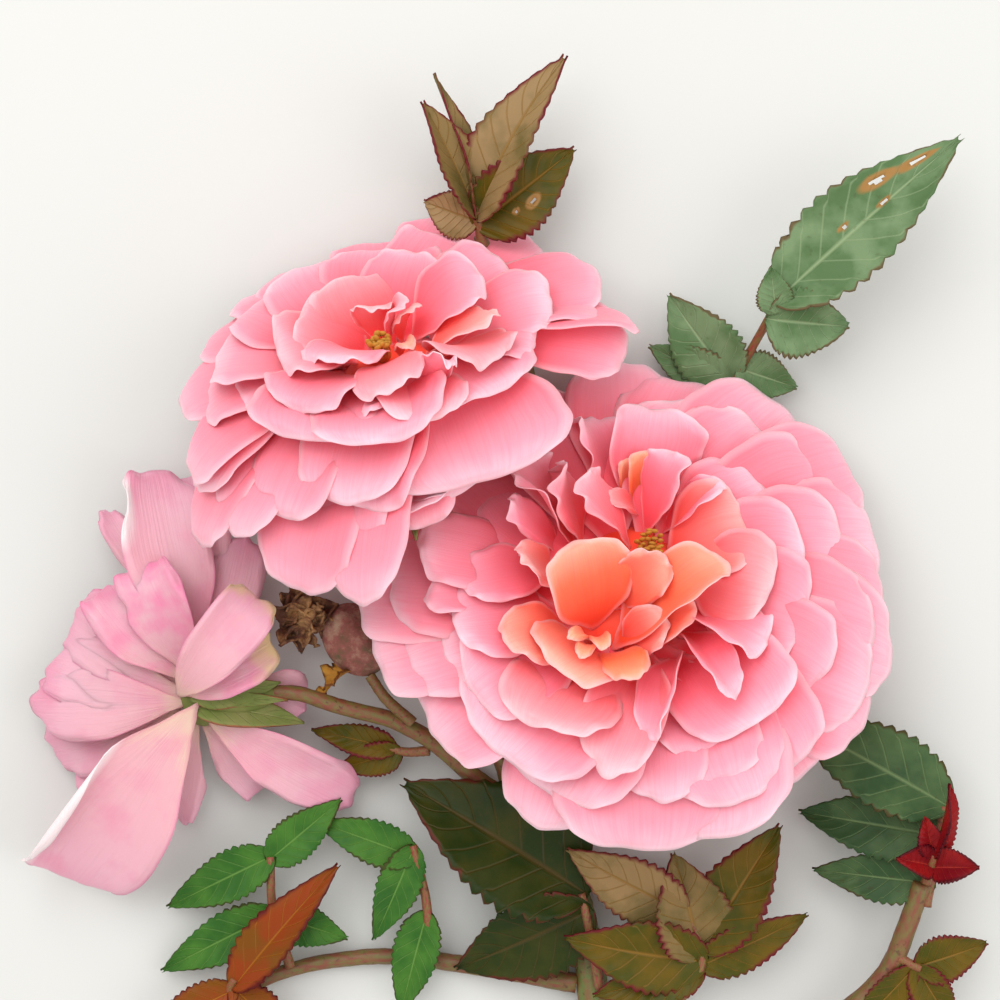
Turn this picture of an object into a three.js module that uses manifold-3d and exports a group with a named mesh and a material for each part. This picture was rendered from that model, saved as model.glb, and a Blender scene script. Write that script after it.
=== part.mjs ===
// A cut flowering spray of a shrub rose, lying on its back: two full double blooms that face up, a spent
// bloom with loose petals, a withered head, young and mature leaves, and the prickly cane they grow from.
// Millimetres, +Z up. The spray lies on z = 0, and +Y runs from the cut end of the cane to its tip.
import * as THREE from "three";
import { mergeVertices } from "three/addons/utils/BufferGeometryUtils.js";
import Module from "manifold-3d";

const wasm = await Module();
wasm.setup();

// Driving dimensions.
const PETAL_THICK = 0.8;
// How square a petal is towards its rim: 1 is round, and less is squarer.
const SHOULDER = 0.8;
const LEAF_THICK = 0.5;
// The middle of a petal's thickness stays above LOWEST, and bends off below RESTING.
const RESTING = 2.4;
const LOWEST = 0.6;
const CLEAR = 0.3;
// Edges shorter than this close up where solids are joined or cut.
const SEAM = 0.01;
const CANE_RADIUS = 2.9;
const FORK_RADIUS = 1.9;
const LEAF_STALK_RADIUS = 0.7;
const HIP_RADIUS = 4.2;
const HIP_LENGTH = 9;
const GOLDEN_TURN = 137.508;
// Where the middle of the sketch frame lies, so that the origin is under the middle of the spray.
const SHIFT = [-0.85, 15.8, 0];

const COLOURS = {
  cane: 0x5c6b2e,
  stalk: 0x6e4a2c,
  petal: 0xf79aa8,
  spent: 0xeebfcb,
  stamen: 0xb5832a,
  calyx: 0x6f8050,
  hip: 0x6b4a38,
  withered: 0x5a3520,
  mature: 0x4c6a4a,
  young: 0x6b6a2a,
  red: 0xa02a28,
  bronze: 0x8a5a20,
};
const material = (key, roughness = 0.6) =>
  new THREE.MeshStandardMaterial({ color: COLOURS[key], roughness, metalness: 0 });

const rad = THREE.MathUtils.degToRad;
const mix = THREE.MathUtils.lerp;
const ease = (low, high, x) => THREE.MathUtils.smoothstep(x, low, high);
const vec = (p) => new THREE.Vector3(p[0], p[1], p[2]);

// A repeatable number from -1 to 1.
function wobble(seed, salt) {
  const value = Math.sin(seed * 12.9898 + salt * 78.233) * 43758.5453;
  return 2 * (value - Math.floor(value)) - 1;
}

function solidOf(geometry) {
  for (const name of ["normal", "uv"]) geometry.deleteAttribute(name);
  const merged = mergeVertices(geometry, 1e-4);
  return new wasm.Manifold(
    new wasm.Mesh({
      numProp: 3,
      vertProperties: new Float32Array(merged.attributes.position.array),
      triVerts: new Uint32Array(merged.index.array),
      tolerance: SEAM,
    }),
  );
}

const fuse = (solids) => solids.reduce((whole, one) => whole.add(one));

// The largest of a solid's loose pieces.
const largest = (solid) => solid.decompose().reduce((a, b) => (b.volume() > a.volume() ? b : a));

// A closed sheet: a flat grid carried to a surface, with a skin half its thickness to each side and a rim.
function sheet(surface, across, along, thick, spread = 1) {
  const grid = new THREE.PlaneGeometry(2 * spread, 2 * spread, across, along);
  const flat = grid.attributes.position;
  const count = flat.count;
  const step = 0.02;
  const upper = [];
  const lower = [];
  for (let i = 0; i < count; i++) {
    const [a, b] = [flat.getX(i), flat.getY(i)];
    const [na, nb] = [a * 0.9, b * 0.9];
    const du = surface(na + step, nb).sub(surface(na - step, nb));
    const dv = surface(na, nb + step).sub(surface(na, nb - step));
    const half = du.cross(dv).setLength(thick / 2);
    upper.push(...surface(a, b).add(half).toArray());
    lower.push(...surface(a, b).sub(half).toArray());
  }
  const faces = [];
  const edges = new Set();
  for (let i = 0; i < grid.index.count; i += 3) {
    const [p, q, r] = [0, 1, 2].map((k) => grid.index.getX(i + k));
    faces.push(p, q, r, count + p, count + r, count + q);
    for (const edge of [[p, q], [q, r], [r, p]]) edges.add(edge.join());
  }
  for (const edge of edges) {
    const [p, q] = edge.split(",").map(Number);
    if (!edges.has([q, p].join())) faces.push(q, p, count + p, q, count + p, count + q);
  }
  const closed = new THREE.BufferGeometry();
  closed.setAttribute("position", new THREE.Float32BufferAttribute([...upper, ...lower], 3));
  closed.setIndex(faces);
  return solidOf(closed);
}

// A round tapering limb through a few points, with flat ends.
function limb(points, radiusAt, grow = 0, sides = 7, steps = 10) {
  const curve = new THREE.CatmullRomCurve3(points.map(vec));
  const frames = curve.computeFrenetFrames(steps, false);
  const tube = new THREE.CylinderGeometry(1, 1, 1, sides, steps);
  const at = tube.attributes.position;
  for (let i = 0; i < at.count; i++) {
    const along = Math.round((at.getY(i) + 0.5) * steps);
    const r = radiusAt(along / steps) + grow;
    const p = curve
      .getPointAt(along / steps)
      .addScaledVector(frames.normals[along], at.getZ(i) * r)
      .addScaledVector(frames.binormals[along], at.getX(i) * r);
    at.setXYZ(i, ...p.toArray());
  }
  return solidOf(tube);
}

// The frame of a petal, sepal or leaflet: out is where it points, face is the side it shows.
function frameFrom(at, out, face) {
  const x = vec(out).normalize();
  const z = vec(face).addScaledVector(x, -vec(face).dot(x)).normalize();
  const y = new THREE.Vector3().crossVectors(z, x);
  return new THREE.Matrix4().makeBasis(x, y, z).setPosition(vec(at));
}

// Stations along a petal's midline: distance out, height and slope.
const STATIONS = 24;
function petalSpine(petal) {
  const stations = [];
  const step = petal.length / STATIONS;
  let out = petal.start;
  let height = petal.foot;
  for (let i = 0; i <= STATIONS; i++) {
    const t = i / STATIONS;
    const slope = rad(mix(petal.rise, petal.end, t ** petal.bend) + petal.lip * ease(0.72, 1, t));
    stations.push([out, height, slope]);
    out += step * Math.cos(slope);
    height += step * Math.sin(slope);
  }
  return stations;
}

// A corner of a petal's grid, a across and b along, both from -1 to 1, in the petal's own frame.
function petalPoint(petal, spine, a, b) {
  let x = a * Math.sqrt(1 - (b * b) / 2);
  let y = b * Math.sqrt(1 - (a * a) / 2);
  const angle = Math.atan2(x, y);
  const reach = Math.hypot(x, y);
  let edge = 1 + petal.rag * Math.sin(3 * angle + 6 * wobble(petal.seed, 1));
  edge += 0.6 * petal.rag * Math.sin(7 * angle + 6 * wobble(petal.seed, 2));
  edge += petal.point * Math.exp(-((angle / 0.32) ** 2));
  x *= edge;
  y *= edge;
  y += 0.22 * Math.max(0, 1 - y * y);
  y = y > 0 ? y ** SHOULDER : y;
  const t = Math.max(0, (y + 1) / 2);
  let side = ((x * petal.width) / 2) * (0.3 + 0.78 * ease(-0.05, 0.62, t));
  const rim = ease(0.7, 1, reach) * ease(0.25, 0.6, t);
  let lift = petal.ruffle * reach * reach * ease(0.2, 0.9, t) *
    Math.sin(petal.waves * angle + 6.3 * wobble(petal.seed, 3));
  lift += 0.45 * petal.ruffle * rim * Math.sin(7 * angle + 6.3 * wobble(petal.seed, 4));
  lift += petal.crease * Math.abs(side) - petal.curl * rim * rim;
  side *= 1 - 0.04 * petal.curl * rim * rim;
  const wrap = rad(mix(petal.cup, petal.cupTip, Math.min(1, t)));
  const radius = petal.width / (Math.abs(wrap) < 0.02 ? 0.02 : wrap);
  lift += radius * (1 - Math.cos(side / radius));
  const lateral = radius * Math.sin(side / radius);
  const turn = rad(petal.roll);
  const swung = lateral * Math.cos(turn) - lift * Math.sin(turn);
  const raised = lateral * Math.sin(turn) + lift * Math.cos(turn);
  const place = Math.min(1, t) * STATIONS;
  const i = Math.min(STATIONS - 1, Math.floor(place));
  const [out, height, slope] = spine[i].map((value, k) => mix(value, spine[i + 1][k], place - i));
  const past = Math.max(0, t - 1) * petal.length;
  return new THREE.Vector3(
    out + past * Math.cos(slope) - raised * Math.sin(slope),
    swung,
    height + past * Math.sin(slope) + raised * Math.cos(slope),
  );
}

// A petal that hangs low bends to lie on the ground.
function rested(p) {
  if (p.z < RESTING) p.z = LOWEST + (RESTING - LOWEST) * Math.exp((p.z - RESTING) / (RESTING - LOWEST));
  return p;
}

function petalSolid(petal, place, grow, across = 2, along = 3) {
  const spine = petalSpine(petal);
  const frame = place.clone().multiply(petal.frame);
  const surface = (a, b) => rested(petalPoint(petal, spine, a, b).applyMatrix4(frame));
  return sheet(surface, across, along, PETAL_THICK + grow);
}

// The blooms. A petal's at, its foot, and its tip are in the bloom's own frame, which stands on its calyx.
const LOWER_BLOOM = {
  at: [20.5, -16, 16.5],
  axis: [0.03, 0.36, 0.93],
  seed: 509,
  petals: [
    { at: [-3.5, -5, 2], tip: [-15, -39.5, 1], width: 16.5, bow: 33 },
    { at: [0.5, -8, 2], tip: [2, -44, 2], width: 27, bow: 33 },
    { at: [4, -8, 2.5], tip: [11, -42, 4], width: 32.5, bow: 31 },
    { at: [4.5, -7.5, 2], tip: [29, -30.5, 2], width: 20.5, bow: 31 },
    { at: [5.5, -5, 2], tip: [39, -22, 2], width: 21, bow: 31 },
    { at: [7, -2.5, 2], tip: [44, -10.5, 2], width: 21, bow: 31 },
    { at: [7, -0.5, 2], tip: [43.5, -1, 3], width: 19, bow: 31 },
    { at: [7, 2, 2], tip: [42.5, 9.5, 3], width: 21, bow: 31 },
    { at: [6, 4, 2], tip: [39.5, 22.5, 3], width: 22, bow: 31 },
    { at: [4, 5.5, 2], tip: [28.5, 32.5, 3], width: 24.5, bow: 31 },
    { at: [2.5, 7, 2], tip: [13.5, 38, 3], width: 22, bow: 31 },
    { at: [1, 7, 2], tip: [0, 41.5, 4], width: 19.5, bow: 31 },
    { at: [-2, 4.5, 2], tip: [-12, 34.5, 3], width: 23.5, bow: 31 },
    { at: [-4.5, 3, 2], tip: [-25, 25, 2], width: 23, bow: 31 },
    { at: [-6.5, 1, 2], tip: [-39, 14, 1], width: 21, bow: 31 },
    { at: [-6.5, -0.5, 2], tip: [-45, 1, 0], width: 21, bow: 31 },
    { at: [-7, -3, 2], tip: [-42, -10, 1], width: 21, bow: 31 },
    { at: [-5.5, -5, 2], tip: [-32.5, -24, 2], width: 23, bow: 31 },
    { at: [-2.5, -8, 3], tip: [-14, -34.5, 5], width: 26.5, bow: 30 },
    { at: [-7.5, -3, 3], tip: [-37, -11, 5], width: 22.5, bow: 28 },
    { at: [8, -2.5, 3], tip: [40, -8, 6], width: 21, bow: 28 },
    { at: [4.5, 5.5, 3], tip: [24.5, 26.5, 7], width: 23, bow: 25 },
    { at: [5.5, -9.5, 3], tip: [18, -36, 7], width: 20.5, bow: 28 },
    { at: [-3.5, -9, 4], tip: [-21.5, -29, 9], width: 26.5, bow: 27 },
    { at: [10, -5, 3.5], tip: [31, -16.5, 9], width: 19, bow: 25 },
    { at: [10, -1, 4], tip: [28, -8, 11], width: 20.5, bow: 24 },
    { at: [-7, -8, 4.5], tip: [-25.5, -20, 12], width: 17.5, bow: 24 },
    { at: [8.5, -9, 2], tip: [20, -25, 14], width: 21, bow: 24, cup: 100, cupTip: 50 },
    { at: [3.5, -11, 3.5], tip: [-4.5, -33, 14], width: 14, bow: 28, point: 0.12, cup: 100, cupTip: 80 },
    { at: [-8, 6, 5], tip: [-18, 18, 17], width: 10.5, bow: 16, roll: 50, cup: 70, cupTip: 30, ruffle: 2.2 },
    { at: [0.5, 6, 7], tip: [-7.5, 15, 18], width: 9.5, bow: 14, roll: 46, cup: 80, cupTip: 40, ruffle: 1.6 },
    { at: [6.5, 5.5, 5.5], tip: [19, 9, 13], width: 16.5, bow: 24, cup: 90, cupTip: 50 },
    { at: [-6.5, -12, 1.5], tip: [-15, -26, 15], width: 19, bow: 22, cup: 60, cupTip: 20 },
    { at: [-5.5, -7.5, 5.5], tip: [-8.5, 2, 21], width: 15.5, bow: 20, cup: 120, cupTip: 70 },
    { at: [-3, -10.5, 4], tip: [13.5, -0.5, 21], width: 13, bow: 16, roll: -26, cup: 110, cupTip: 110 },
  ],
};
const UPPER_BLOOM = {
  at: [-15.5, 15, 25.5],
  axis: [-0.16, 0.72, 0.67],
  seed: 706,
  petals: [
    { at: [-2.5, 6, 1], tip: [-19.5, -25.5, -15], width: 18.5, bow: 37 },
    { at: [0.5, 5.5, 1], tip: [-9.5, -30, -14], width: 16.5, bow: 37 },
    { at: [-7.5, 7, 1], tip: [-36.5, -13, -12], width: 16, bow: 36 },
    { at: [-2, 5, 2], tip: [-12.5, -23.5, -9], width: 18.5, bow: 36 },
    { at: [-6.5, 7, 2], tip: [-29.5, -17.5, -7], width: 16.5, bow: 34 },
    { at: [-4, 4, 3], tip: [-20.5, -20, -3], width: 16.5, bow: 34 },
    { at: [-7.5, 7.5, 3], tip: [-35, -8.5, -4], width: 16, bow: 33 },
    { at: [6.5, 6, 4], tip: [14.5, -15, -2], width: 28, bow: 34, roll: -6 },
    { at: [-1.5, 2.5, 4], tip: [-8.5, -23, 1], width: 18.5, bow: 34 },
    { at: [-7.5, 9.5, 3], tip: [-38, 6.5, 1], width: 17, bow: 30 },
    { at: [8, 10, 2], tip: [37, 10.5, -3], width: 17, bow: 30, roll: 10 },
    { at: [8, 9.5, 2], tip: [39.5, 15, 0], width: 15, bow: 27 },
    { at: [7, 14.5, 0.5], tip: [33, 24.5, 4], width: 17.5, bow: 27 },
    { at: [5, 16.5, 0], tip: [22, 36, 4], width: 15, bow: 27 },
    { at: [0.5, 19, 0], tip: [8, 44.5, 4], width: 14, bow: 25 },
    { at: [-3.5, 19, 0], tip: [-13.5, 35.5, 5], width: 14, bow: 25 },
    { at: [-5.5, 18, 0], tip: [-22.5, 34, 4], width: 16, bow: 27 },
    { at: [-7.5, 12.5, 1.5], tip: [-34, 19.5, 3], width: 15, bow: 28 },
    { at: [-9, 5.5, 4.5], tip: [-24, -5, 8], width: 22.5, bow: 25 },
    { at: [-8.5, 8.5, 2.5], tip: [-30.5, 10, 8], width: 24, bow: 25 },
    { at: [-7.5, 12.5, 1.5], tip: [-25, 23, 8], width: 23, bow: 24 },
    { at: [-2.5, 16.5, 0.5], tip: [-3, 32.5, 9], width: 20, bow: 22 },
    { at: [4.5, 13.5, 1.5], tip: [18.5, 22, 9], width: 18.5, bow: 22 },
    { at: [5.5, 4.5, 5], tip: [16.5, -10, 9], width: 23, bow: 27, roll: -12 },
    { at: [-6.5, 1, 6], tip: [-13, -16.5, 10], width: 23, bow: 27 },
    { at: [-1, -1.5, 6], tip: [-1.5, -21.5, 12], width: 21.5, bow: 27 },
    { at: [6.5, 3.5, 6.5], tip: [18, -5.5, 13], width: 15.5, bow: 28, roll: -24, ruffle: 1.2 },
    { at: [-6, 1, 6.5], tip: [-14, -12, 13], width: 18, bow: 25 },
    { at: [-5.5, 9.5, 4], tip: [-14.5, 12.5, 13], width: 18.5, bow: 22 },
    { at: [2, 9, 5.5], tip: [15.5, 11, 15], width: 14.5, bow: 24, cup: 100, cupTip: 60 },
    { at: [-0.5, 1, 7.5], tip: [1.5, -16.5, 17], width: 11.5, bow: 25 },
  ],
};

const upright = (at, axis) => {
  const z = vec(axis).normalize();
  const y = z.clone().cross(new THREE.Vector3(1, 0, 0)).normalize();
  return new THREE.Matrix4().makeBasis(y.clone().cross(z), y, z).setPosition(vec(at));
};

// The petals that show, each from its foot to its tip. Its bow is how far it arches over its chord, in degrees.
const placedPetals = (rows, firstSeed, usual = {}) =>
  rows.map((row, i) => {
    const seed = firstSeed + i;
    const reach = vec(row.tip).sub(vec(row.at));
    const slope = THREE.MathUtils.radToDeg(Math.atan2(reach.z, Math.hypot(reach.x, reach.y)));
    const inner = ease(4, 15, row.tip[2]);
    return {
      lip: -12, crease: 0, curl: 0.8, waves: 2.4, rag: 0.024, bend: 1,
      cup: mix(30, 64, inner) + 8 * wobble(seed, 17),
      cupTip: mix(-6, 24, inner) + 12 * wobble(seed, 18),
      ruffle: mix(0.5, 1.1, inner),
      roll: 8 + 5 * wobble(seed, 19),
      point: 0.01 + 0.03 * wobble(seed, 21),
      ...usual,
      ...row,
      seed,
      start: 0,
      foot: 0,
      length: (reach.length() * rad(row.bow)) / Math.sin(rad(row.bow)),
      rise: slope + row.bow,
      end: slope - row.bow,
      frame: new THREE.Matrix4()
        .makeTranslation(...row.at)
        .multiply(new THREE.Matrix4().makeRotationZ(Math.atan2(reach.y, reach.x))),
    };
  });

// A round body of revolution on its own axis, squashed to the three radii.
function ball(radii, place, around = 12, up = 6) {
  const sphere = new THREE.SphereGeometry(1, around, up).rotateX(Math.PI / 2);
  return solidOf(sphere.scale(...radii).applyMatrix4(place));
}

// A bloom's solid has the body that its petals stand on, a wide core with a mound on it, and its large petals.
const BLOOM_CORE = [18, 18, 5.2];
const CORE_DROP = 1.4;
const BLOOM_MOUND = [13, 13, 8];
function bloomSolid(bloom, grow) {
  const place = upright(bloom.at, bloom.axis);
  const middle = place.clone().multiply(new THREE.Matrix4().makeTranslation(0, 0, -CORE_DROP));
  const core = ball(BLOOM_CORE.map((r) => r + grow), middle);
  const mound = ball(BLOOM_MOUND.map((r) => r + grow), place);
  const petals = placedPetals(bloom.petals, bloom.seed);
  return fuse([core, mound, ...petals.map((petal) => petalSolid(petal, place, grow))]);
}

// The green cup under a bloom, with five sepals that lie back against the petals or hang free.
const CALYX_DROP = 5.4;
function calyxSolid(bloom, grow) {
  const place = upright(bloom.at, bloom.axis).multiply(new THREE.Matrix4().makeTranslation(0, 0, -CALYX_DROP));
  const hip = ball(
    [HIP_RADIUS + grow, HIP_RADIUS + grow, HIP_LENGTH / 2 + grow],
    place.clone().multiply(new THREE.Matrix4().makeTranslation(0, 0, -HIP_LENGTH / 2)), 8, 5,
  );
  const sepals = [0, 1, 2, 3, 4].map((i) => {
    const turn = new THREE.Matrix4().makeRotationZ(rad(72 * i + 20));
    const out = new THREE.Matrix4().makeTranslation(HIP_RADIUS * 0.5, 0, -1.6);
    return leafletSolid(
      { frame: place.clone().multiply(turn).multiply(out), length: 19, wide: 5, fold: 0.15, bow: bloom.sepalBow, twist: 0 },
      grow, 1, 3,
    );
  });
  return fuse([hip, ...sepals]);
}

// A leaflet or sepal: an oval blade with a drawn-out point, folded along its midrib, bowed and twisted.
const bladeWidth = (t) => Math.sin(Math.PI * t ** 0.78) ** 0.8 * (1 - 0.25 * t) + 0.1 * (1 - t);
function leafletSolid(leaf, grow, across = 2, along = 3) {
  const surface = (a, b) => {
    const t = (b + 1) / 2;
    const side = (a * leaf.wide * Math.max(0.06, bladeWidth(THREE.MathUtils.clamp(t, 0, 1)))) / 2;
    const sag = leaf.bow * (t - 0.25) ** 2;
    const turn = rad(leaf.twist) * t;
    const lift = leaf.fold * Math.abs(side);
    return new THREE.Vector3(
      leaf.length * t,
      side * Math.cos(turn) - lift * Math.sin(turn),
      -leaf.length * sag + side * Math.sin(turn) + lift * Math.cos(turn),
    ).applyMatrix4(leaf.frame);
  };
  return sheet(surface, across, along, LEAF_THICK + 2 * grow, 1 + grow / 6);
}

// A leaflet from its root to its tip. A roll turns it on its midrib.
function leafletOf(row) {
  const along = vec(row.to).sub(vec(row.from));
  const face = new THREE.Vector3(0, 0, 1).applyAxisAngle(along.clone().normalize(), rad(row.roll ?? 0));
  const root = vec(row.from).addScaledVector(along, -0.04);
  const blade = { fold: 0.25, bow: 0.12, twist: 0, ...row, length: along.length() * 1.04 };
  blade.frame = frameFrom(root.toArray(), along.toArray(), face.toArray());
  return blade;
}

// A compound leaf: a thin stalk with its leaflets.
function leafSolid(leaf, grow) {
  const stalk = limb(leaf.stalk, (t) => mix(1.3, 1, t) * LEAF_STALK_RADIUS, grow, 4, 4);
  return fuse([stalk, ...leaf.leaflets.map((row) => leafletSolid(leafletOf(row), grow))]);
}

// The cane and the stalks that fork from it.
const CANE_LINE = [[14.4, -104, 2.9], [16, -89.6, 2.9], [14.4, -73.6, 3.1], [9.6, -59.2, 3.6], [3.2, -51.2, 4.4]];
const STALKS = {
  stalk_upper_bloom: [[2, -48, 5.2], [-4, -30, 5], [-9, -14, 6], [-12.6, -1, 10.6], [-13.1, 3.6, 14.8]],
  stalk_lower_bloom: [[5.2, -49.4, 4], [11, -40, 2.4], [16.5, -31, 1.8], [19.8, -23.6, 2.3]],
  stalk_spent_bloom: [
    [0, -50, 5.2], [-4.8, -46.4, 6], [-11.2, -40.8, 7.6], [-17.6, -37.1, 9.4], [-27.2, -34.4, 11], [-33.6, -32.3, 12],
    [-40.6, -32, 12.6],
  ],
  stalk_withered_head: [[-16.4, -35.6, 10.6], [-19.2, -33, 10.8], [-21.8, -29.4, 10.2]],
  stalk_side_shoot: [[20, -95, 3.4], [34, -98.5, 3.4], [50, -93, 4.6], [64.8, -80, 8], [68, -72, 9.6], [70.4, -64, 11.4]],
  stalk_top_shoot: [[8.4, -54, 1.9], [10, -42, 1.5], [8.6, -20, 1.5], [7, 10, 1.5], [1.4, 34, 3.2], [-3.4, 44.4, 8.4]],
  stalk_left_shoot: [[10.6, -82, 2.4], [-2, -80, 1.8], [-20, -78, 1.8], [-36, -80, 3.4], [-44, -83.4, 5.4]],
};
const STALK_ENDS = {
  stalk_upper_bloom: [1.9, 1.35],
  stalk_lower_bloom: [1.9, 1.45],
  stalk_spent_bloom: [1.6, 1.2],
  stalk_withered_head: [1.0, 0.9],
  stalk_side_shoot: [2.3, 1.6],
  stalk_top_shoot: [1.5, 1.1],
  stalk_left_shoot: [1.7, 1.1],
};

// The cane with its prickles, which point back towards the cut.
function caneSolid(grow) {
  const radiusAt = (t) => mix(CANE_RADIUS, FORK_RADIUS, t ** 1.5);
  const cane = limb(CANE_LINE, radiusAt, grow, 10, 10);
  const curve = new THREE.CatmullRomCurve3(CANE_LINE.map(vec));
  const prickles = [0.12, 0.3, 0.47, 0.62, 0.78].map((t, i) => {
    const out = new THREE.Vector3(i % 2 ? -1 : 1, 0.1, 0.75 + 0.2 * wobble(i, 5)).normalize();
    const spike = new THREE.ConeGeometry(1.1 + grow, 4.6 + 2 * grow, 4).translate(0, 2.3, 0);
    const turn = new THREE.Quaternion().setFromUnitVectors(new THREE.Vector3(0, 1, 0), out);
    const root = curve.getPointAt(t).addScaledVector(out, radiusAt(t) * 0.7);
    return solidOf(spike.applyQuaternion(turn).translate(...root.toArray()));
  });
  return fuse([cane, ...prickles]);
}
const stalkSolid = (name, grow) =>
  limb(STALKS[name], (t) => mix(...STALK_ENDS[name], t), grow, 6, 2 * STALKS[name].length);

// The stamens that show in a bloom's eye: a low tuft of fine stalks.
function stamenSolid(eye, grow) {
  const place = upright(eye.at, eye.axis);
  const base = ball([eye.across / 2 + grow, eye.across / 2 + grow, 1.4 + grow], place, 7, 3);
  const stalks = Array.from({ length: eye.stamens }, (_, i) => {
    const around = rad(i * GOLDEN_TURN);
    const out = (eye.across / 2) * Math.sqrt((i + 0.5) / eye.stamens) * 0.8;
    const lean = 0.5 + 0.2 * wobble(i, 3);
    const foot = [out * Math.cos(around), out * Math.sin(around), 0];
    const tip = [foot[0] * (1 + lean), foot[1] * (1 + lean), eye.tall * (1 + 0.15 * wobble(i, 4))];
    const points = [foot, tip].map((p) => vec(p).applyMatrix4(place).toArray());
    return limb(points, (t) => mix(0.45, 0.75, t), grow, 3, 1);
  });
  return fuse([base, ...stalks]);
}

// The spent bloom: loose petals that fall back from its small body, drawn one by one.
const SPENT_PETALS = [
  { at: [-49, -29, 9], tip: [-52, 5.5, 5], width: 11.5, bow: 20, cup: 50 },
  { at: [-47.5, -27.5, 9], tip: [-43, -6, 8], width: 10, bow: 20, cup: 60 },
  { at: [-55.5, -18.5, 8], tip: [-67, -1, 7], width: 5, bow: 14, cup: 60 },
  { at: [-50.5, -29.5, 11], tip: [-59.5, 6, 9], width: 14.5, bow: 16, cup: 80, cupTip: 70, roll: 16 },
  { at: [-53.5, -35, 8], tip: [-77.5, -42.5, 2.5], width: 13, bow: 22 },
  { at: [-53.5, -36.5, 8], tip: [-72.5, -50, 2.5], width: 10, bow: 22 },
  { at: [-51.5, -31, 10], tip: [-73, -18.5, 6], width: 13.5, bow: 26, ruffle: 1.4 },
  { at: [-51.5, -32.5, 11], tip: [-77, -27, 7], width: 12, bow: 24, ruffle: 1.4 },
  { at: [-51.5, -33.5, 12], tip: [-79, -34.5, 7], width: 12.5, bow: 24, point: 0.12 },
  { at: [-51.5, -30.5, 12], tip: [-67, -13.5, 10], width: 12, bow: 26, ruffle: 1.8 },
  { at: [-50, -30, 13], tip: [-60.5, -9.5, 14], width: 11.5, bow: 24, roll: -14, ruffle: 1.8 },
  { at: [-50.5, -36.5, 9], tip: [-55, -55.5, 3], width: 6.5, bow: 24 },
  { at: [-42, -30, 10], tip: [-32.5, -34.5, 8], width: 9.5, bow: 20, point: 0.14 },
  { at: [-50, -36.5, 10], tip: [-40, -50, 4], width: 8, bow: 24 },
  { at: [-50, -35.5, 12], tip: [-24.5, -51, 5], width: 11.5, bow: 24, cup: 70, cupTip: 70, roll: 14 },
  {
    at: [-51.5, -33.5, 15], tip: [-75.5, -65, 3.5], width: 21.5, bow: 34, roll: -12, cup: 50, cupTip: 90,
    ruffle: 1.3,
  },
  { at: [-53, -33.5, 13], tip: [-38.5, -14.5, 17], width: 11.5, bow: 62, cup: 110, cupTip: 90, ruffle: 1.4 },
  { at: [-53, -34, 14], tip: [-37.5, -25, 16], width: 16.5, bow: 66, cup: 120, cupTip: 120, ruffle: 1.6 },
];
const SPENT_BODY = [4.2, 6.4, 3.2];
const SPENT_BODY_AT = [-49.4, -31.4, 11.2];
function spentSolid(grow) {
  const petals = placedPetals(SPENT_PETALS, 900, { ruffle: 1.2, curl: 1.2 });
  const body = ball(SPENT_BODY.map((r) => r + grow), new THREE.Matrix4().makeTranslation(...SPENT_BODY_AT), 8, 5);
  return fuse([body, ...petals.map((petal) => petalSolid(petal, new THREE.Matrix4(), grow, 2, 4))]);
}

// The cup behind the spent bloom, with three narrow sepals that run back along its stalk.
const SPENT_CUP = [-43.6, -32.6, 13];
const SPENT_SEPALS = [
  { from: [-49.5, -30.5, 14.5], to: [-37, -31.2, 16], wide: 4.6, roll: 30, bow: 0.4 },
  { from: [-48, -34, 13.5], to: [-32.4, -36, 12.6], wide: 4.2, roll: -30, bow: 0.3 },
];
function spentCupSolid(grow) {
  const cup = ball([3 + grow, 2.6 + grow, 6.4 + grow], upright(SPENT_CUP, [-1, -0.06, 0.1]), 8, 5);
  return fuse([cup, ...SPENT_SEPALS.map((row) => leafletSolid(leafletOf(row), grow, 1, 3))]);
}

// The withered head: a crumpled brown tuft on a swollen hip, with one dry golden sepal.
const HEAD_AT = [-24.2, -23.4, 9.5];
const TUFT_AT = [-33, -19.6, 11.1];
function hipSolid(grow) {
  const hip = ball([5.2 + grow, 5.2 + grow, 6.6 + grow], upright(HEAD_AT, [-0.6, 0.75, 0.1]), 10, 7);
  const frame = frameFrom([-25, -28, 10.5], [-5.4, -4.4, 1.4], [0.4, -0.4, 1]);
  return hip.add(leafletSolid({ frame, length: 8, wide: 3.6, fold: 0.3, bow: 0.2, twist: 20 }, grow));
}
function tuftSolid(grow) {
  const core = ball([3.4 + grow, 3.4 + grow, 3 + grow], upright(TUFT_AT, [-0.8, 0.4, 0.4]), 7, 4);
  const scraps = Array.from({ length: 6 }, (_, i) => {
    const around = rad(i * GOLDEN_TURN);
    const out = [Math.cos(around), Math.sin(around), 0.5 + 0.5 * wobble(i, 31)];
    const frame = frameFrom(TUFT_AT, out, [0.3 * wobble(i, 32), 0.3 * wobble(i, 33), 1]);
    const length = 7 + 1.5 * wobble(i, 34);
    return leafletSolid({ frame, length, wide: 4, fold: 0.4, bow: -0.5, twist: 50 }, grow, 1, 2);
  });
  return fuse([core, ...scraps]);
}

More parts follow.
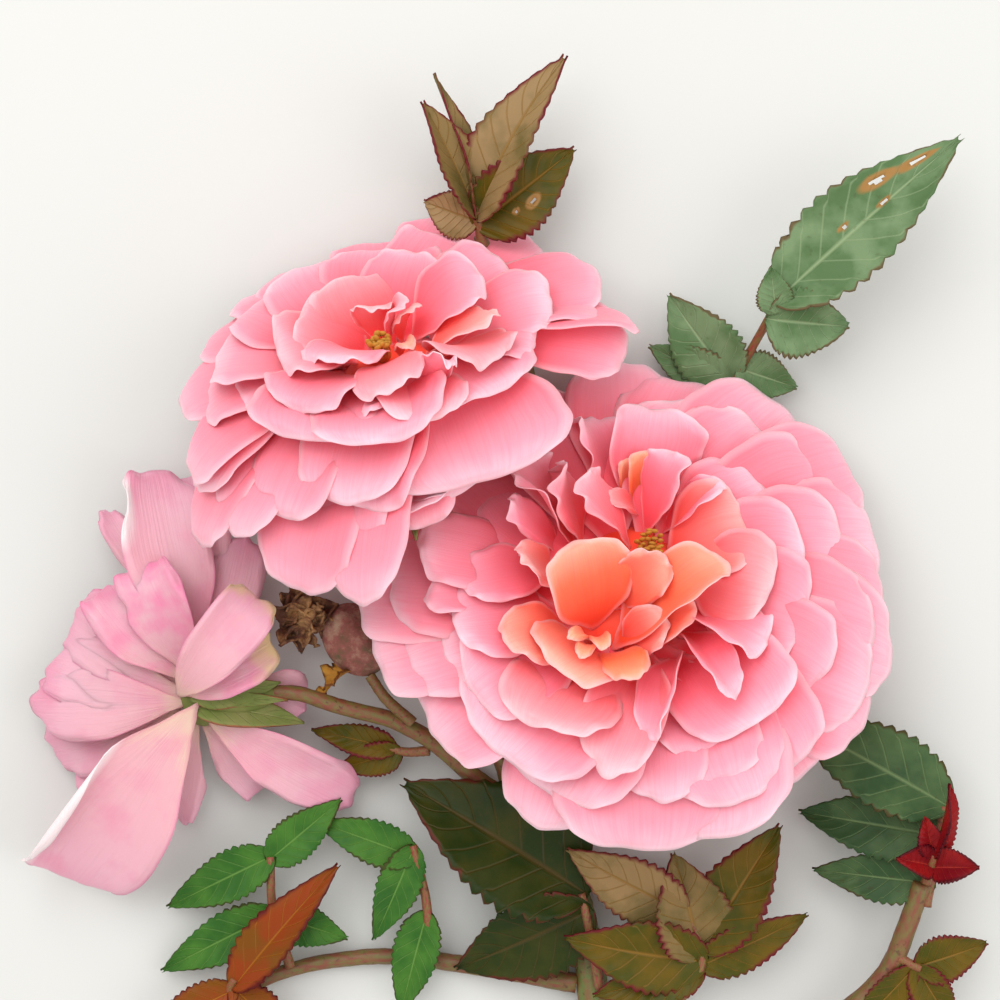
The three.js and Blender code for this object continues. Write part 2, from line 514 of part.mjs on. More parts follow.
// The leaves, each with its stalk's line and its leaflets.
const LEAVES = {
  leaf_top_shoot: {
    key: "young",
    stalk: [[-3.2, 44, 9.6], [-3.6, 46, 10.6], [-4, 48, 12]],
    leaflets: [
      { from: [-4, 47.6, 12], to: [7.7, 72.8, 20], wide: 9, roll: -50, fold: 0.8 },
      { from: [-3.6, 46, 11], to: [12, 57.6, 15], wide: 11.5, roll: 10 },
      { from: [-4, 47.6, 12], to: [-12, 65.6, 16], wide: 8, roll: 40, fold: 0.7 },
      { from: [-3.8, 46.6, 11], to: [-12.8, 50, 9], wide: 7, roll: -20 },
      { from: [-4, 47.6, 12], to: [-9.5, 71, 12], wide: 6, roll: 60, fold: 0.7 },
    ],
  },
  leaf_upper_right: {
    key: "mature",
    stalk: [[10.8, -15, 1.5], [24, -4, 1.3], [34, 9, 1.4], [39.6, 20, 2.8], [44.4, 29.4, 10.6], [46.6, 34, 14.6]],
    leaflets: [
      { from: [46.4, 33.6, 15], to: [74.9, 59.5, 19], wide: 13, roll: -12, bow: 0.1 },
      { from: [45.6, 31, 14.6], to: [44.6, 38, 17], wide: 5 },
      { from: [44.6, 30, 14], to: [57.9, 28.5, 14], wide: 11, roll: 14, bow: 0.2 },
      { from: [39.4, 20.4, 3.4], to: [28.5, 33.6, 8], wide: 10.5, roll: -18, bow: 0.15 },
      { from: [38.4, 17.8, 2.4], to: [31, 18.6, 3], wide: 8, roll: 20 },
      { from: [39, 19.4, 2.8], to: [25.6, 25.8, 5], wide: 9, roll: -14 },
      { from: [40.6, 22.4, 4.4], to: [50, 19, 6], wide: 9, roll: 10 },
    ],
  },
  leaf_lower_right: {
    key: "mature",
    stalk: [[71.4, -66.4, 11], [72.6, -60, 11], [74, -51, 12]],
    leaflets: [
      { from: [74, -50.6, 12], to: [48.8, -36.5, 7], wide: 15, roll: 14, bow: 0.1 },
      { from: [73, -56, 11], to: [50.9, -52.8, 5.5], wide: 12, roll: 8 },
      { from: [72, -64, 11], to: [53, -62.4, 7], wide: 9, roll: 6 },
    ],
  },
  leaf_dark: {
    key: "mature",
    stalk: [[16.6, -81, 7.2], [15.4, -74, 8.6], [13.6, -66, 9.2]],
    leaflets: [
      { from: [13.8, -65.6, 9.2], to: [-15.2, -47.2, 11], wide: 15.5, roll: 14, bow: 0.12 },
      { from: [14.6, -69, 9], to: [-7.2, -80, 5.6], wide: 13, roll: -12, bow: 0.1 },
    ],
  },
  leaf_young_low: {
    key: "young",
    stalk: [[19.4, -91, 4.6], [26, -88, 7], [33.6, -79, 9], [33, -73, 9.6], [30.4, -68.6, 10]],
    leaflets: [
      { from: [34, -77.3, 9.6], to: [11.5, -73.9, 13], wide: 11, roll: -10, bow: 0.14 },
      { from: [33.6, -76.6, 9.4], to: [29.5, -59.5, 12], wide: 13, roll: 14, bow: 0.1 },
      { from: [33.6, -79, 9.2], to: [16, -83, 9.6], wide: 9, roll: 10 },
      { from: [30.4, -68.8, 10], to: [11.5, -58.9, 12.4], wide: 9, roll: -14 },
      { from: [33.8, -78, 9.2], to: [51.5, -70.1, 9.6], wide: 9, roll: 12 },
      { from: [34, -75, 9.6], to: [46.4, -54.7, 11], wide: 11, roll: -14 },
    ],
  },
  leaf_bronze: {
    key: "bronze",
    stalk: [[-45.4, -84.4, 6], [-45.6, -82.6, 7], [-44.6, -80.6, 8]],
    leaflets: [
      { from: [-44.5, -81.6, 8], to: [-28, -61.1, 12], wide: 9.5, roll: -24, fold: 0.4 },
      { from: [-45, -82.6, 7.4], to: [-60, -90, 8], wide: 8, roll: 10 },
      { from: [-44.8, -82.4, 7.4], to: [-33, -93, 7], wide: 8, roll: -10 },
    ],
  },
  leaf_left_low: {
    key: "mature",
    stalk: [[-36, -77.8, 4.6], [-38.4, -69, 6.6], [-38.6, -60, 8]],
    leaflets: [
      { from: [-38.6, -60, 8], to: [-56.5, -69, 5], wide: 9, roll: 8 },
      { from: [-38.6, -60.4, 8], to: [-27, -50.6, 9], wide: 8 },
      { from: [-38.4, -70, 6.4], to: [-57.6, -80, 4], wide: 9, roll: 10 },
      { from: [-38.2, -70, 6.4], to: [-26, -74, 7], wide: 8 },
    ],
  },
  leaf_left_mid: {
    key: "mature",
    stalk: [[-12, -77, 4.6], [-12.4, -68, 7], [-14.6, -58, 8.6]],
    leaflets: [
      { from: [-14.6, -58.6, 8.6], to: [-21, -74, 8.4], wide: 8, roll: -10 },
      { from: [-14.4, -60, 8.4], to: [-31, -54, 8], wide: 8, roll: 10 },
      { from: [-12.4, -70, 6.6], to: [-17, -87, 5], wide: 8.5, roll: 10 },
    ],
  },
  leaf_spent_stalk: {
    key: "young",
    stalk: [[-13.4, -42.4, 6.6], [-16, -42.6, 6], [-18.6, -42, 5.8]],
    leaflets: [
      { from: [-18, -42, 6], to: [-31.6, -38.8, 6.4], wide: 6, roll: 10 },
      { from: [-17, -42.6, 6], to: [-27.4, -45.6, 5], wide: 6.5, roll: -10 },
    ],
  },
  leaf_side_shoot: {
    key: "red",
    stalk: [[71.2, -62.4, 12.6], [71.6, -60.6, 13.4], [72, -58.8, 14]],
    leaflets: [
      { from: [71.4, -60.6, 13.4], to: [65.6, -59, 17], wide: 6, roll: 20, fold: 0.7 },
      { from: [71.6, -61, 13.4], to: [78.6, -60.4, 17], wide: 6.5, roll: -20, fold: 0.7 },
      { from: [72, -58.8, 14], to: [74.4, -47, 19], wide: 5, roll: 60, fold: 0.8 },
      { from: [71.8, -59, 14], to: [70.2, -52.6, 15.6], wide: 5, fold: 0.5 },
    ],
  },
  leaf_side_low: {
    key: "young",
    stalk: [[68.2, -77.4, 9.8], [69.4, -78, 10], [70.4, -78.4, 10]],
    leaflets: [
      { from: [69.8, -78, 10], to: [81.6, -74.4, 10], wide: 9, roll: 10 },
      { from: [69, -78.6, 9.8], to: [59, -90.4, 7], wide: 7, roll: -10 },
      { from: [69.8, -78.4, 10], to: [76.4, -89, 8], wide: 7.4, roll: 10 },
    ],
  },
};

// The open eyes of the two blooms, where their stamens show.
const UPPER_EYE = { at: [-18.6, 23, 31.5], axis: [-0.16, 0.72, 0.67], across: 3.2, stamens: 5, tall: 2.8 };
const LOWER_EYE = { at: [24, -8, 21.5], axis: [0.1, 0.4, 0.9], across: 3.6, stamens: 5, tall: 2.8 };

// Every piece in the order in which it takes its room: one that comes later stays clear of those before.
const PIECES = [
  ["main_cane", "cane", caneSolid],
  ...Object.keys(STALKS).map((name) => [name, "stalk", (grow) => stalkSolid(name, grow)]),
  ["calyx_upper_bloom", "calyx", (grow) => calyxSolid({ ...UPPER_BLOOM, sepalBow: 0.25 }, grow)],
  ["calyx_lower_bloom", "calyx", (grow) => calyxSolid({ ...LOWER_BLOOM, sepalBow: -0.05 }, grow)],
  ["calyx_spent_bloom", "calyx", spentCupSolid],
  ["stamens_upper_bloom", "stamen", (grow) => stamenSolid(UPPER_EYE, grow)],
  ["stamens_lower_bloom", "stamen", (grow) => stamenSolid(LOWER_EYE, grow)],
  ["upper_bloom", "petal", (grow) => bloomSolid(UPPER_BLOOM, grow)],
  ["lower_bloom", "petal", (grow) => bloomSolid(LOWER_BLOOM, grow)],
  ["spent_bloom", "spent", spentSolid],
  ["withered_hip", "hip", hipSolid],
  ["withered_tuft", "withered", tuftSolid],
  ...Object.entries(LEAVES).map(([name, leaf]) => [name, leaf.key, (grow) => leafSolid(leaf, grow)]),
];

const room = [];
const apart = (a, b) => {
  const [p, q] = [a.boundingBox(), b.boundingBox()];
  return [0, 1, 2].some((k) => p.max[k] < q.min[k] || q.max[k] < p.min[k]);
};
function meshOf(name, key, solid) {
  const { vertProperties, triVerts } = solid.getMesh();
  const geometry = new THREE.BufferGeometry();
  geometry.setAttribute("position", new THREE.BufferAttribute(vertProperties, 3));
  geometry.setIndex(new THREE.BufferAttribute(triVerts, 1));
  const mesh = new THREE.Mesh(geometry, material(key));
  mesh.name = name;
  return mesh;
}

const group = new THREE.Group();
group.position.set(...SHIFT);
for (const [name, key, make] of PIECES) {
  const whole = make(0);
  const solid = largest(room.filter((other) => !apart(other, whole)).reduce((left, other) => left.subtract(other), whole));
  room.push(make(CLEAR).add(solid));
  group.add(meshOf(name, key, solid));
}

export default group;
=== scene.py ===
"""A cut rose spray on a pale table: two full blooms, a spent one, a withered head, leaves and a cane."""

import math

import bmesh
import bpy
from mathutils import Matrix, Quaternion, Vector


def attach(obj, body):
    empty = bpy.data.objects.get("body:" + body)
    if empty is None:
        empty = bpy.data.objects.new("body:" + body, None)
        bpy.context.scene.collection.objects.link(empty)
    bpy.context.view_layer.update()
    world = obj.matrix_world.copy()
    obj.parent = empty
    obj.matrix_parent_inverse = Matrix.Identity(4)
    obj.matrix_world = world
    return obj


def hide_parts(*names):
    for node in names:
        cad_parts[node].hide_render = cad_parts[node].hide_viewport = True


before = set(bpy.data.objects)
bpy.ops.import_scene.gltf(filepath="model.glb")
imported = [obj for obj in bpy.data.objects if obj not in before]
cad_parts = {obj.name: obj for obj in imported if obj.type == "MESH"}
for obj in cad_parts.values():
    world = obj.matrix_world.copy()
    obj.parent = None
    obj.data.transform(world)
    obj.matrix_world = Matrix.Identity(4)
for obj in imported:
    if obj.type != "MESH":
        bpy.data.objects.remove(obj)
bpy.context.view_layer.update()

# Sizes are in millimetres from the middle of the picture. They become metres in the part's frame in put().
MM = 0.001
SHIFT = Vector((-0.85, 15.8, 0))
# The turn from one petal, stamen or scrap of a spiral to the next, in degrees.
GOLDEN_TURN = 137.508
# How many samples a rounded line has from one of its points to the next.
LINE_SAMPLES = 24

# Petals. One that hangs low bends off below RESTING and stays above LOWEST.
PETAL_THICK = 0.15
RESTING = 2.4
LOWEST = 0.6
# In how many steps a petal's midline is worked out.
STATIONS = 24
PETAL_CELLS = (25, 25)
SPENT_PETAL_CELLS = (30, 30)
# How square a petal is towards its rim: 1 is round, and less is squarer.
SHOULDER = 0.8
# Where a rolled margin starts, as a share of the petal's width from its midline.
HEM_FROM = 0.24
# The waves of a petal's ragged rim and the finer ones of its ruffle: share, number round the petal, and salt.
RAGS = ((1, 3, 1), (0.6, 7, 2), (0.35, 15, 5))
RIPPLES = ((0.45, 7, 4), (0.2, 13, 6))
# How much the petals of a whorl stray from its even run. The salts are counted on from STRAY_SALT.
STRAY_SALT = 11
STRAY = dict(around=12, length=0.07, width=0.1, rise=6, end=8, lip=10, cup=12, cup_tip=18)
# What a petal is like where its whorl or row doesn't say otherwise.
PETAL_SHAPE = dict(
    bend=1, lip=-12, crease=0, curl=0.8, waves=2.4, rag=0.024, hem=0, hem_start=0.05, warmth=0, scorch=0
)

# Leaves and sepals. A side vein climbs by VEIN_RISE of the spaces between two veins on its way to the rim.
LEAF_THICK = 0.35
VEINS = 8
VEIN_RISE = 1.7
LEAFLET_CELLS = (12, 56)
HOLED_LEAFLET_CELLS = (28, 56)
# How far the blade is gone in a hole, as a share of the reach of the dry patch round it.
HOLE_OPEN = 0.6
# How far a leaflet's root runs into its stalk, as a share of its length.
ROOT_SUNK = 0.04
LEAF_SHAPE = dict(fold=0.25, bow=0.12, twist=0, teeth=14, bite=0.16, quilt=0.14, wave=0.3, flush=0, holes=())
SEPAL_SHAPE = dict(LEAF_SHAPE, teeth=1, bite=0, quilt=0.05, wave=0.1)

# Bark. A limb's relief is a share of its radius.
BARK_RELIEF = 0.05


def wobble(seed, salt):
    """A repeatable number from -1 to 1. Uses that share a seed differ in their salts."""
    value = math.sin(seed * 12.9898 + salt * 78.233) * 43758.5453
    return 2 * (value - math.floor(value)) - 1


def mix(a, b, t):
    """The value at t on the way from a to b."""
    return a + (b - a) * t


def clamp(x, low=0.0, high=1.0):
    """x, held between low and high."""
    return min(high, max(low, x))


def ease(low, high, x):
    """0 below low, 1 above high, and a smooth rise between."""
    t = clamp((x - low) / (high - low))
    return t * t * (3 - 2 * t)


def screen_colour(value):
    """The shader's linear values of a colour as it looks on a screen, 0 to 255. A socket stays itself."""
    if not isinstance(value, tuple):
        return value
    channels = [c / 255 for c in value]
    return tuple(c / 12.92 if c <= 0.04045 else ((c + 0.055) / 1.055) ** 2.4 for c in channels) + (1,)


# Places and frames.


def upright(at, axis):
    """The frame of a bloom or another round part: its +Z runs along the axis, its +X stays level."""
    z = Vector(axis).normalized()
    y = z.cross(Vector((1, 0, 0))).normalized()
    return Matrix.Translation(at) @ Matrix((y.cross(z), y, z)).transposed().to_4x4()


def frame_from(at, out, face):
    """The frame of a leaflet, sepal or scrap: out is where it points, face is the side it shows."""
    x = Vector(out).normalized()
    z = Vector(face)
    z = (z - x * z.dot(x)).normalized()
    return Matrix.Translation(at) @ Matrix((x, z.cross(x), z)).transposed().to_4x4()


def smooth_line(points):
    """Close samples of the rounded line through the points: centripetal, the ends carried on straight."""
    knots = [Vector(p) for p in points]
    knots = [2 * knots[0] - knots[1]] + knots + [2 * knots[-1] - knots[-2]]
    line = []
    for p0, p1, p2, p3 in zip(knots, knots[1:], knots[2:], knots[3:]):
        d0, d1, d2 = (max(1e-4, (b - a).length) ** 0.5 for a, b in ((p0, p1), (p1, p2), (p2, p3)))
        t1 = ((p1 - p0) / d0 - (p2 - p0) / (d0 + d1) + (p2 - p1) / d1) * d1
        t2 = ((p2 - p1) / d1 - (p3 - p1) / (d1 + d2) + (p3 - p2) / d2) * d1
        for i in range(LINE_SAMPLES):
            t = i / LINE_SAMPLES
            a, b = 2 * p1 - 2 * p2 + t1 + t2, -3 * p1 + 3 * p2 - 2 * t1 - t2
            line.append(a * t**3 + b * t**2 + t1 * t + p1)
    return line + [knots[-2]]


def even_line(points, steps):
    """Places at even distances along the rounded line, each with its direction."""
    line = smooth_line(points)
    reach = [0.0]
    for a, b in zip(line, line[1:]):
        reach.append(reach[-1] + (b - a).length)
    places, i = [], 0
    for step in range(steps + 1):
        want = reach[-1] * step / steps
        while i < len(line) - 2 and reach[i + 1] < want:
            i += 1
        t = (want - reach[i]) / max(1e-6, reach[i + 1] - reach[i])
        places.append((line[i].lerp(line[i + 1], t), (line[i + 1] - line[i]).normalized()))
    return places


# Meshes.


def new_mesh():
    """An empty bmesh with the layers that the finishes read."""
    mesh = bmesh.new()
    mesh.loops.layers.uv.new("blade_uv")
    for name in ("warmth", "rim", "along", "tint", "turn", "scar", "fold"):
        mesh.verts.layers.float.new(name)
    return mesh


def put(co):
    """A corner in metres, in the part's frame."""
    return (Vector(co) + SHIFT) * MM


def rested(co):
    """A corner of a petal, which bends to lie on the table where it hangs low."""
    if co.z < RESTING:
        co.z = LOWEST + (RESTING - LOWEST) * math.exp((co.z - RESTING) / (RESTING - LOWEST))
    return co


def finish_piece(mesh, name, material, nodes, thick=0.0):
    """Turns a bmesh into a piece that stands for its CAD nodes."""
    for face in mesh.faces:
        face.smooth = True
    data = bpy.data.meshes.new(name)
    mesh.to_mesh(data)
    mesh.free()
    piece = bpy.data.objects.new(name, data)
    bpy.context.scene.collection.objects.link(piece)
    data.materials.append(material)
    if thick:
        skin = piece.modifiers.new("thickness", "SOLIDIFY")
        skin.thickness = thick * MM
        skin.offset = 0
    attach(piece, "root")
    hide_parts(*nodes)


def add_blade(mesh, surface, cells, warmth, tint, rim_at=None, fold_at=None):
    """A grid carried to a surface. The surface takes a and b, across and along, from -1 to 1."""
    layers = {name: mesh.verts.layers.float[name] for name in ("warmth", "rim", "along", "tint", "fold")}
    uv = mesh.loops.layers.uv["blade_uv"]
    verts = bmesh.ops.create_grid(mesh, x_segments=cells[0], y_segments=cells[1], size=1)["verts"]
    for face in {face for v in verts for face in v.link_faces}:
        for loop in face.loops:
            loop[uv].uv = ((loop.vert.co.x + 1) / 2, (loop.vert.co.y + 1) / 2)
    for v in verts:
        a, b = v.co.x, v.co.y
        v[layers["warmth"]] = warmth
        v[layers["tint"]] = tint
        v[layers["along"]] = (b + 1) / 2
        v[layers["rim"]] = rim_at(a, b) if rim_at else abs(a)
        v[layers["fold"]] = fold_at(a, b) if fold_at else 0
        v.co = put(surface(a, b))
    return verts


def add_limb(mesh, points, radius_at, sides, steps, relief=0.0, seed=0, sunk=0.0):
    """A round limb along a rounded line: one ring extruded from place to place, with closed ends.

    Its root is sunk by so much into what carries it.
    """
    turn = mesh.verts.layers.float["turn"]
    along = mesh.verts.layers.float["along"]
    points = [Vector(p) for p in points]
    points[0] += (points[0] - points[1]).normalized() * sunk
    places = even_line(points, steps)
    up = Vector((0, 0, 1)) if abs(places[0][1].z) < 0.9 else Vector((1, 0, 0))
    ring = bmesh.ops.create_circle(mesh, segments=sides, radius=1, cap_ends=True)["verts"]
    for v in ring:
        v[turn] = math.atan2(v.co.y, v.co.x)
    edges = list({e for v in ring for e in v.link_edges})
    for step, (place, way) in enumerate(places):
        if step:
            grown = bmesh.ops.extrude_edge_only(mesh, edges=edges)["geom"]
            ring = [g for g in grown if isinstance(g, bmesh.types.BMVert)]
            edges = [g for g in grown if isinstance(g, bmesh.types.BMEdge)]
            edges = [e for e in edges if all(v in ring for v in e.verts)]
        side = up.cross(way).normalized()
        up = way.cross(side)
        t = step / steps
        for v in ring:
            rough = math.sin(3 * v[turn] + 17 * t + seed) * math.sin(23 * t + 2 * v[turn])
            rough += 0.6 * wobble(seed + 7 * step, round(5 * v[turn]))
            r = radius_at(t) * (1 + relief * rough)
            v[along] = t
            v.co = put(place + side * (r * math.cos(v[turn])) + up * (r * math.sin(v[turn])))
    bmesh.ops.contextual_create(mesh, geom=edges)


def face_outwards(mesh):
    """Turns the faces of closed shapes outwards."""
    bmesh.ops.recalc_face_normals(mesh, faces=mesh.faces[:])


def add_ball(mesh, radii, place, around=24, up=16, ribs=0.0):
    """A round body on its own axis, squashed to its three radii, with five low ribs where it has them."""
    verts = bmesh.ops.create_uvsphere(mesh, u_segments=around, v_segments=up, radius=1)["verts"]
    for v in verts:
        swell = 1 + ribs * math.cos(5 * math.atan2(v.co.y, v.co.x))
        own = Vector((v.co.x * radii[0] * swell, v.co.y * radii[1] * swell, v.co.z * radii[2]))
        v.co = put(place @ own)
    return verts


# Petals.


def petal_spine(petal):
    """Stations along a petal's midline: distance out, height and slope."""
    stations, out, height = [], petal["start"], petal["foot"]
    step = petal["length"] / STATIONS
    for i in range(STATIONS + 1):
        t = i / STATIONS
        bend = mix(petal["rise"], petal["end"], t ** petal["bend"]) + petal["lip"] * ease(0.72, 1, t)
        slope = math.radians(bend)
        stations.append((out, height, slope))
        out += step * math.cos(slope)
        height += step * math.sin(slope)
    return stations


def round_off(a, b):
    """A corner of the square grid carried into a disc."""
    return a * math.sqrt(1 - b * b / 2), b * math.sqrt(1 - a * a / 2)


def petal_reach(a, b):
    """How near a corner of the grid is to the petal's rim: 0 in the middle, 1 on the rim."""
    return math.hypot(*round_off(a, b))


def petal_outline(petal, a, b):
    """A corner of the grid in the petal's flat outline: its side, share of the length, bearing and reach."""
    seed = petal["seed"]
    x, y = round_off(a, b)
    angle, reach = math.atan2(x, y), math.hypot(x, y)
    edge = 1
    for share, number, salt in RAGS:
        edge += share * petal["rag"] * math.sin(number * angle + 6 * wobble(seed, salt))
    edge += petal["point"] * math.exp(-((angle / 0.32) ** 2))
    x, y = x * edge, y * edge
    y += 0.22 * max(0, 1 - y * y)
    y = y**SHOULDER if y > 0 else y
    t = max(0, (y + 1) / 2)
    return x * petal["width"] / 2 * (0.3 + 0.78 * ease(-0.05, 0.62, t)), t, angle, reach


def hem_turn(petal, side, t):
    """How far a margin is rolled over, in radians. The hem is the roll's radius, and its sign the margin."""
    if not petal["hem"]:
        return 0
    past = -side * math.copysign(1, petal["hem"]) - HEM_FROM * petal["width"]
    share = ease(petal["hem_start"], petal["hem_start"] + 0.35, t) * (1 - 0.7 * ease(0.82, 1, t))
    return max(0, past) / abs(petal["hem"]) * share


def petal_point(petal, spine, a, b):
    """A corner of the petal's grid, in the petal's own frame."""
    seed = petal["seed"]
    side, t, angle, reach = petal_outline(petal, a, b)
    rim = ease(0.7, 1, reach) * ease(0.25, 0.6, t)
    lift = petal["ruffle"] * reach**2 * ease(0.2, 0.9, t)
    lift *= math.sin(petal["waves"] * angle + 6.3 * wobble(seed, 3))
    for share, number, salt in RIPPLES:
        lift += share * petal["ruffle"] * rim * math.sin(number * angle + 6.3 * wobble(seed, salt))
    lift += petal["crease"] * abs(side) - petal["curl"] * rim**2
    side *= 1 - 0.04 * petal["curl"] * rim**2
    rolled = hem_turn(petal, side, t)
    if rolled:
        lift += abs(petal["hem"]) * (1 - math.cos(rolled))
        side += petal["hem"] * (rolled - math.sin(rolled))
    wrap = math.radians(mix(petal["cup"], petal["cup_tip"], min(1, t)))
    radius = petal["width"] / (0.02 if abs(wrap) < 0.02 else wrap)
    lift += radius * (1 - math.cos(side / radius))
    lateral = radius * math.sin(side / radius)
    turn = math.radians(petal["roll"])
    swung = lateral * math.cos(turn) - lift * math.sin(turn)
    raised = lateral * math.sin(turn) + lift * math.cos(turn)
    place = min(1, t) * STATIONS
    i = min(STATIONS - 1, int(place))
    out, height, slope = (mix(p, q, place - i) for p, q in zip(spine[i], spine[i + 1]))
    past = max(0, t - 1) * petal["length"]
    return Vector(
        (
            out + past * math.cos(slope) - raised * math.sin(slope),
            swung,
            height + past * math.sin(slope) + raised * math.cos(slope),
        )
    )


def add_petal(mesh, petal, place, cells):
    """One petal, in a bloom that stands at the place."""
    spine = petal_spine(petal)
    stand = place @ petal["frame"]
    verts = add_blade(
        mesh,
        lambda a, b: rested(stand @ petal_point(petal, spine, a, b)),
        cells,
        warmth=petal["warmth"],
        tint=wobble(petal["seed"], 25),
        rim_at=petal_reach,
        fold_at=lambda a, b: hem_turn(petal, *petal_outline(petal, a, b)[:2]) / math.pi,
    )
    along, scar = mesh.verts.layers.float["along"], mesh.verts.layers.float["scar"]
    for v in verts:
        v[scar] = petal["scorch"] * v[along]


def round_to(at, around):
    """A petal's frame in its bloom: moved to its foot and turned the way it points."""
    return Matrix.Translation(at) @ Matrix.Rotation(math.radians(around), 4, "Z")


def whorl(w):
    """A whorl's petals. A pair of numbers runs from its outermost petal to its innermost."""
    petals = []
    for i in range(w["petals"]):
        seed = w["seed"] + i
        s = i / (w["petals"] - 1)
        stray = {
            name: reach * w["loose"] * wobble(seed, salt)
            for salt, (name, reach) in enumerate(STRAY.items(), STRAY_SALT)
        }
        around = w["spin"] + i * GOLDEN_TURN + stray["around"]
        down = math.cos(math.radians(around + 90))
        length = mix(*w["length"], s) * (1 + stray["length"] + w["stretch"] * down)
        petals.append(
            PETAL_SHAPE
            | {
                "seed": seed,
                "frame": round_to((0, 0, 0), around),
                "start": mix(*w["start"], s),
                "foot": mix(*w["foot"], s),
                "length": length,
                "width": length * mix(*w["wide"], s) * (1 + stray["width"]),
                "rise": mix(*w["rise"], s) + stray["rise"],
                "end": mix(*w["end"], s) - w["sag"] * down * (1 - 0.5 * s) + stray["end"],
                "bend": mix(1.1, 0.9, s),
                "lip": mix(*w["lip"], s) + stray["lip"],
                "cup": mix(*w["cup"], s) + stray["cup"],
                "cup_tip": mix(*w["cup_tip"], s) + stray["cup_tip"],
                "roll": 7 + 8 * wobble(seed, 19),
                "ruffle": mix(*w["ruffle"], s),
                "curl": mix(*w["curl"], s),
                "rag": 0.018 + 0.008 * wobble(seed, 20),
                "point": 0.01 + 0.05 * wobble(seed, 21),
                "warmth": 0.1 * wobble(seed, 23),
            }
        )
    return petals


def placed_petals(rows, first_seed, **usual):
    """The petals that show, each from its foot to its tip. Its bow, in degrees, arches it over its chord."""
    petals = []
    for i, row in enumerate(rows):
        seed = first_seed + i
        foot, reach = Vector(row["at"]), Vector(row["tip"]) - Vector(row["at"])
        slope = math.degrees(math.atan2(reach.z, math.hypot(reach.x, reach.y)))
        arc = math.radians(row["bow"]) / math.sin(math.radians(row["bow"]))
        inner = ease(4, 15, row["tip"][2])
        petal = PETAL_SHAPE | {
            "cup": mix(30, 64, inner) + 8 * wobble(seed, 17),
            "cup_tip": mix(-6, 24, inner) + 12 * wobble(seed, 18),
            "ruffle": mix(0.5, 1.1, inner) * clamp(row["width"] / 12),
            "roll": 8 + 5 * wobble(seed, 19),
            "point": 0.01 + 0.03 * wobble(seed, 21),
        }
        petal |= usual | row
        petal |= {"seed": seed, "start": 0, "foot": 0, "length": reach.length * arc}
        petal |= {"rise": slope + row["bow"], "end": slope - row["bow"]}
        petal["frame"] = round_to(foot, math.degrees(math.atan2(reach.y, reach.x)))
        petals.append(petal)
    return petals


# The whorls behind the petals that show.
UNDER_WHORL = dict(
    stretch=0.03, start=(3, 4), foot=(-4, -2), wide=(0.62, 0.62), rise=(10, 22), lip=(-14, -14),
    cup=(60, 60), cup_tip=(12, 20), curl=(1, 1), ruffle=(0.9, 1.2), loose=1,
)
# The petals that hug the underside of the body of each full bloom.
UNDERSIDE = UNDER_WHORL | dict(
    petals=13, seed=300, spin=0, sag=0, stretch=0, length=(19, 18), start=(3, 3), foot=(-7.3, -6.9),
    wide=(0.95, 0.9), rise=(2, 4), end=(30, 34), lip=(0, 0), cup_tip=(40, 50), curl=(0.6, 0.6),
    ruffle=(0.4, 0.5), loose=0.4,
)

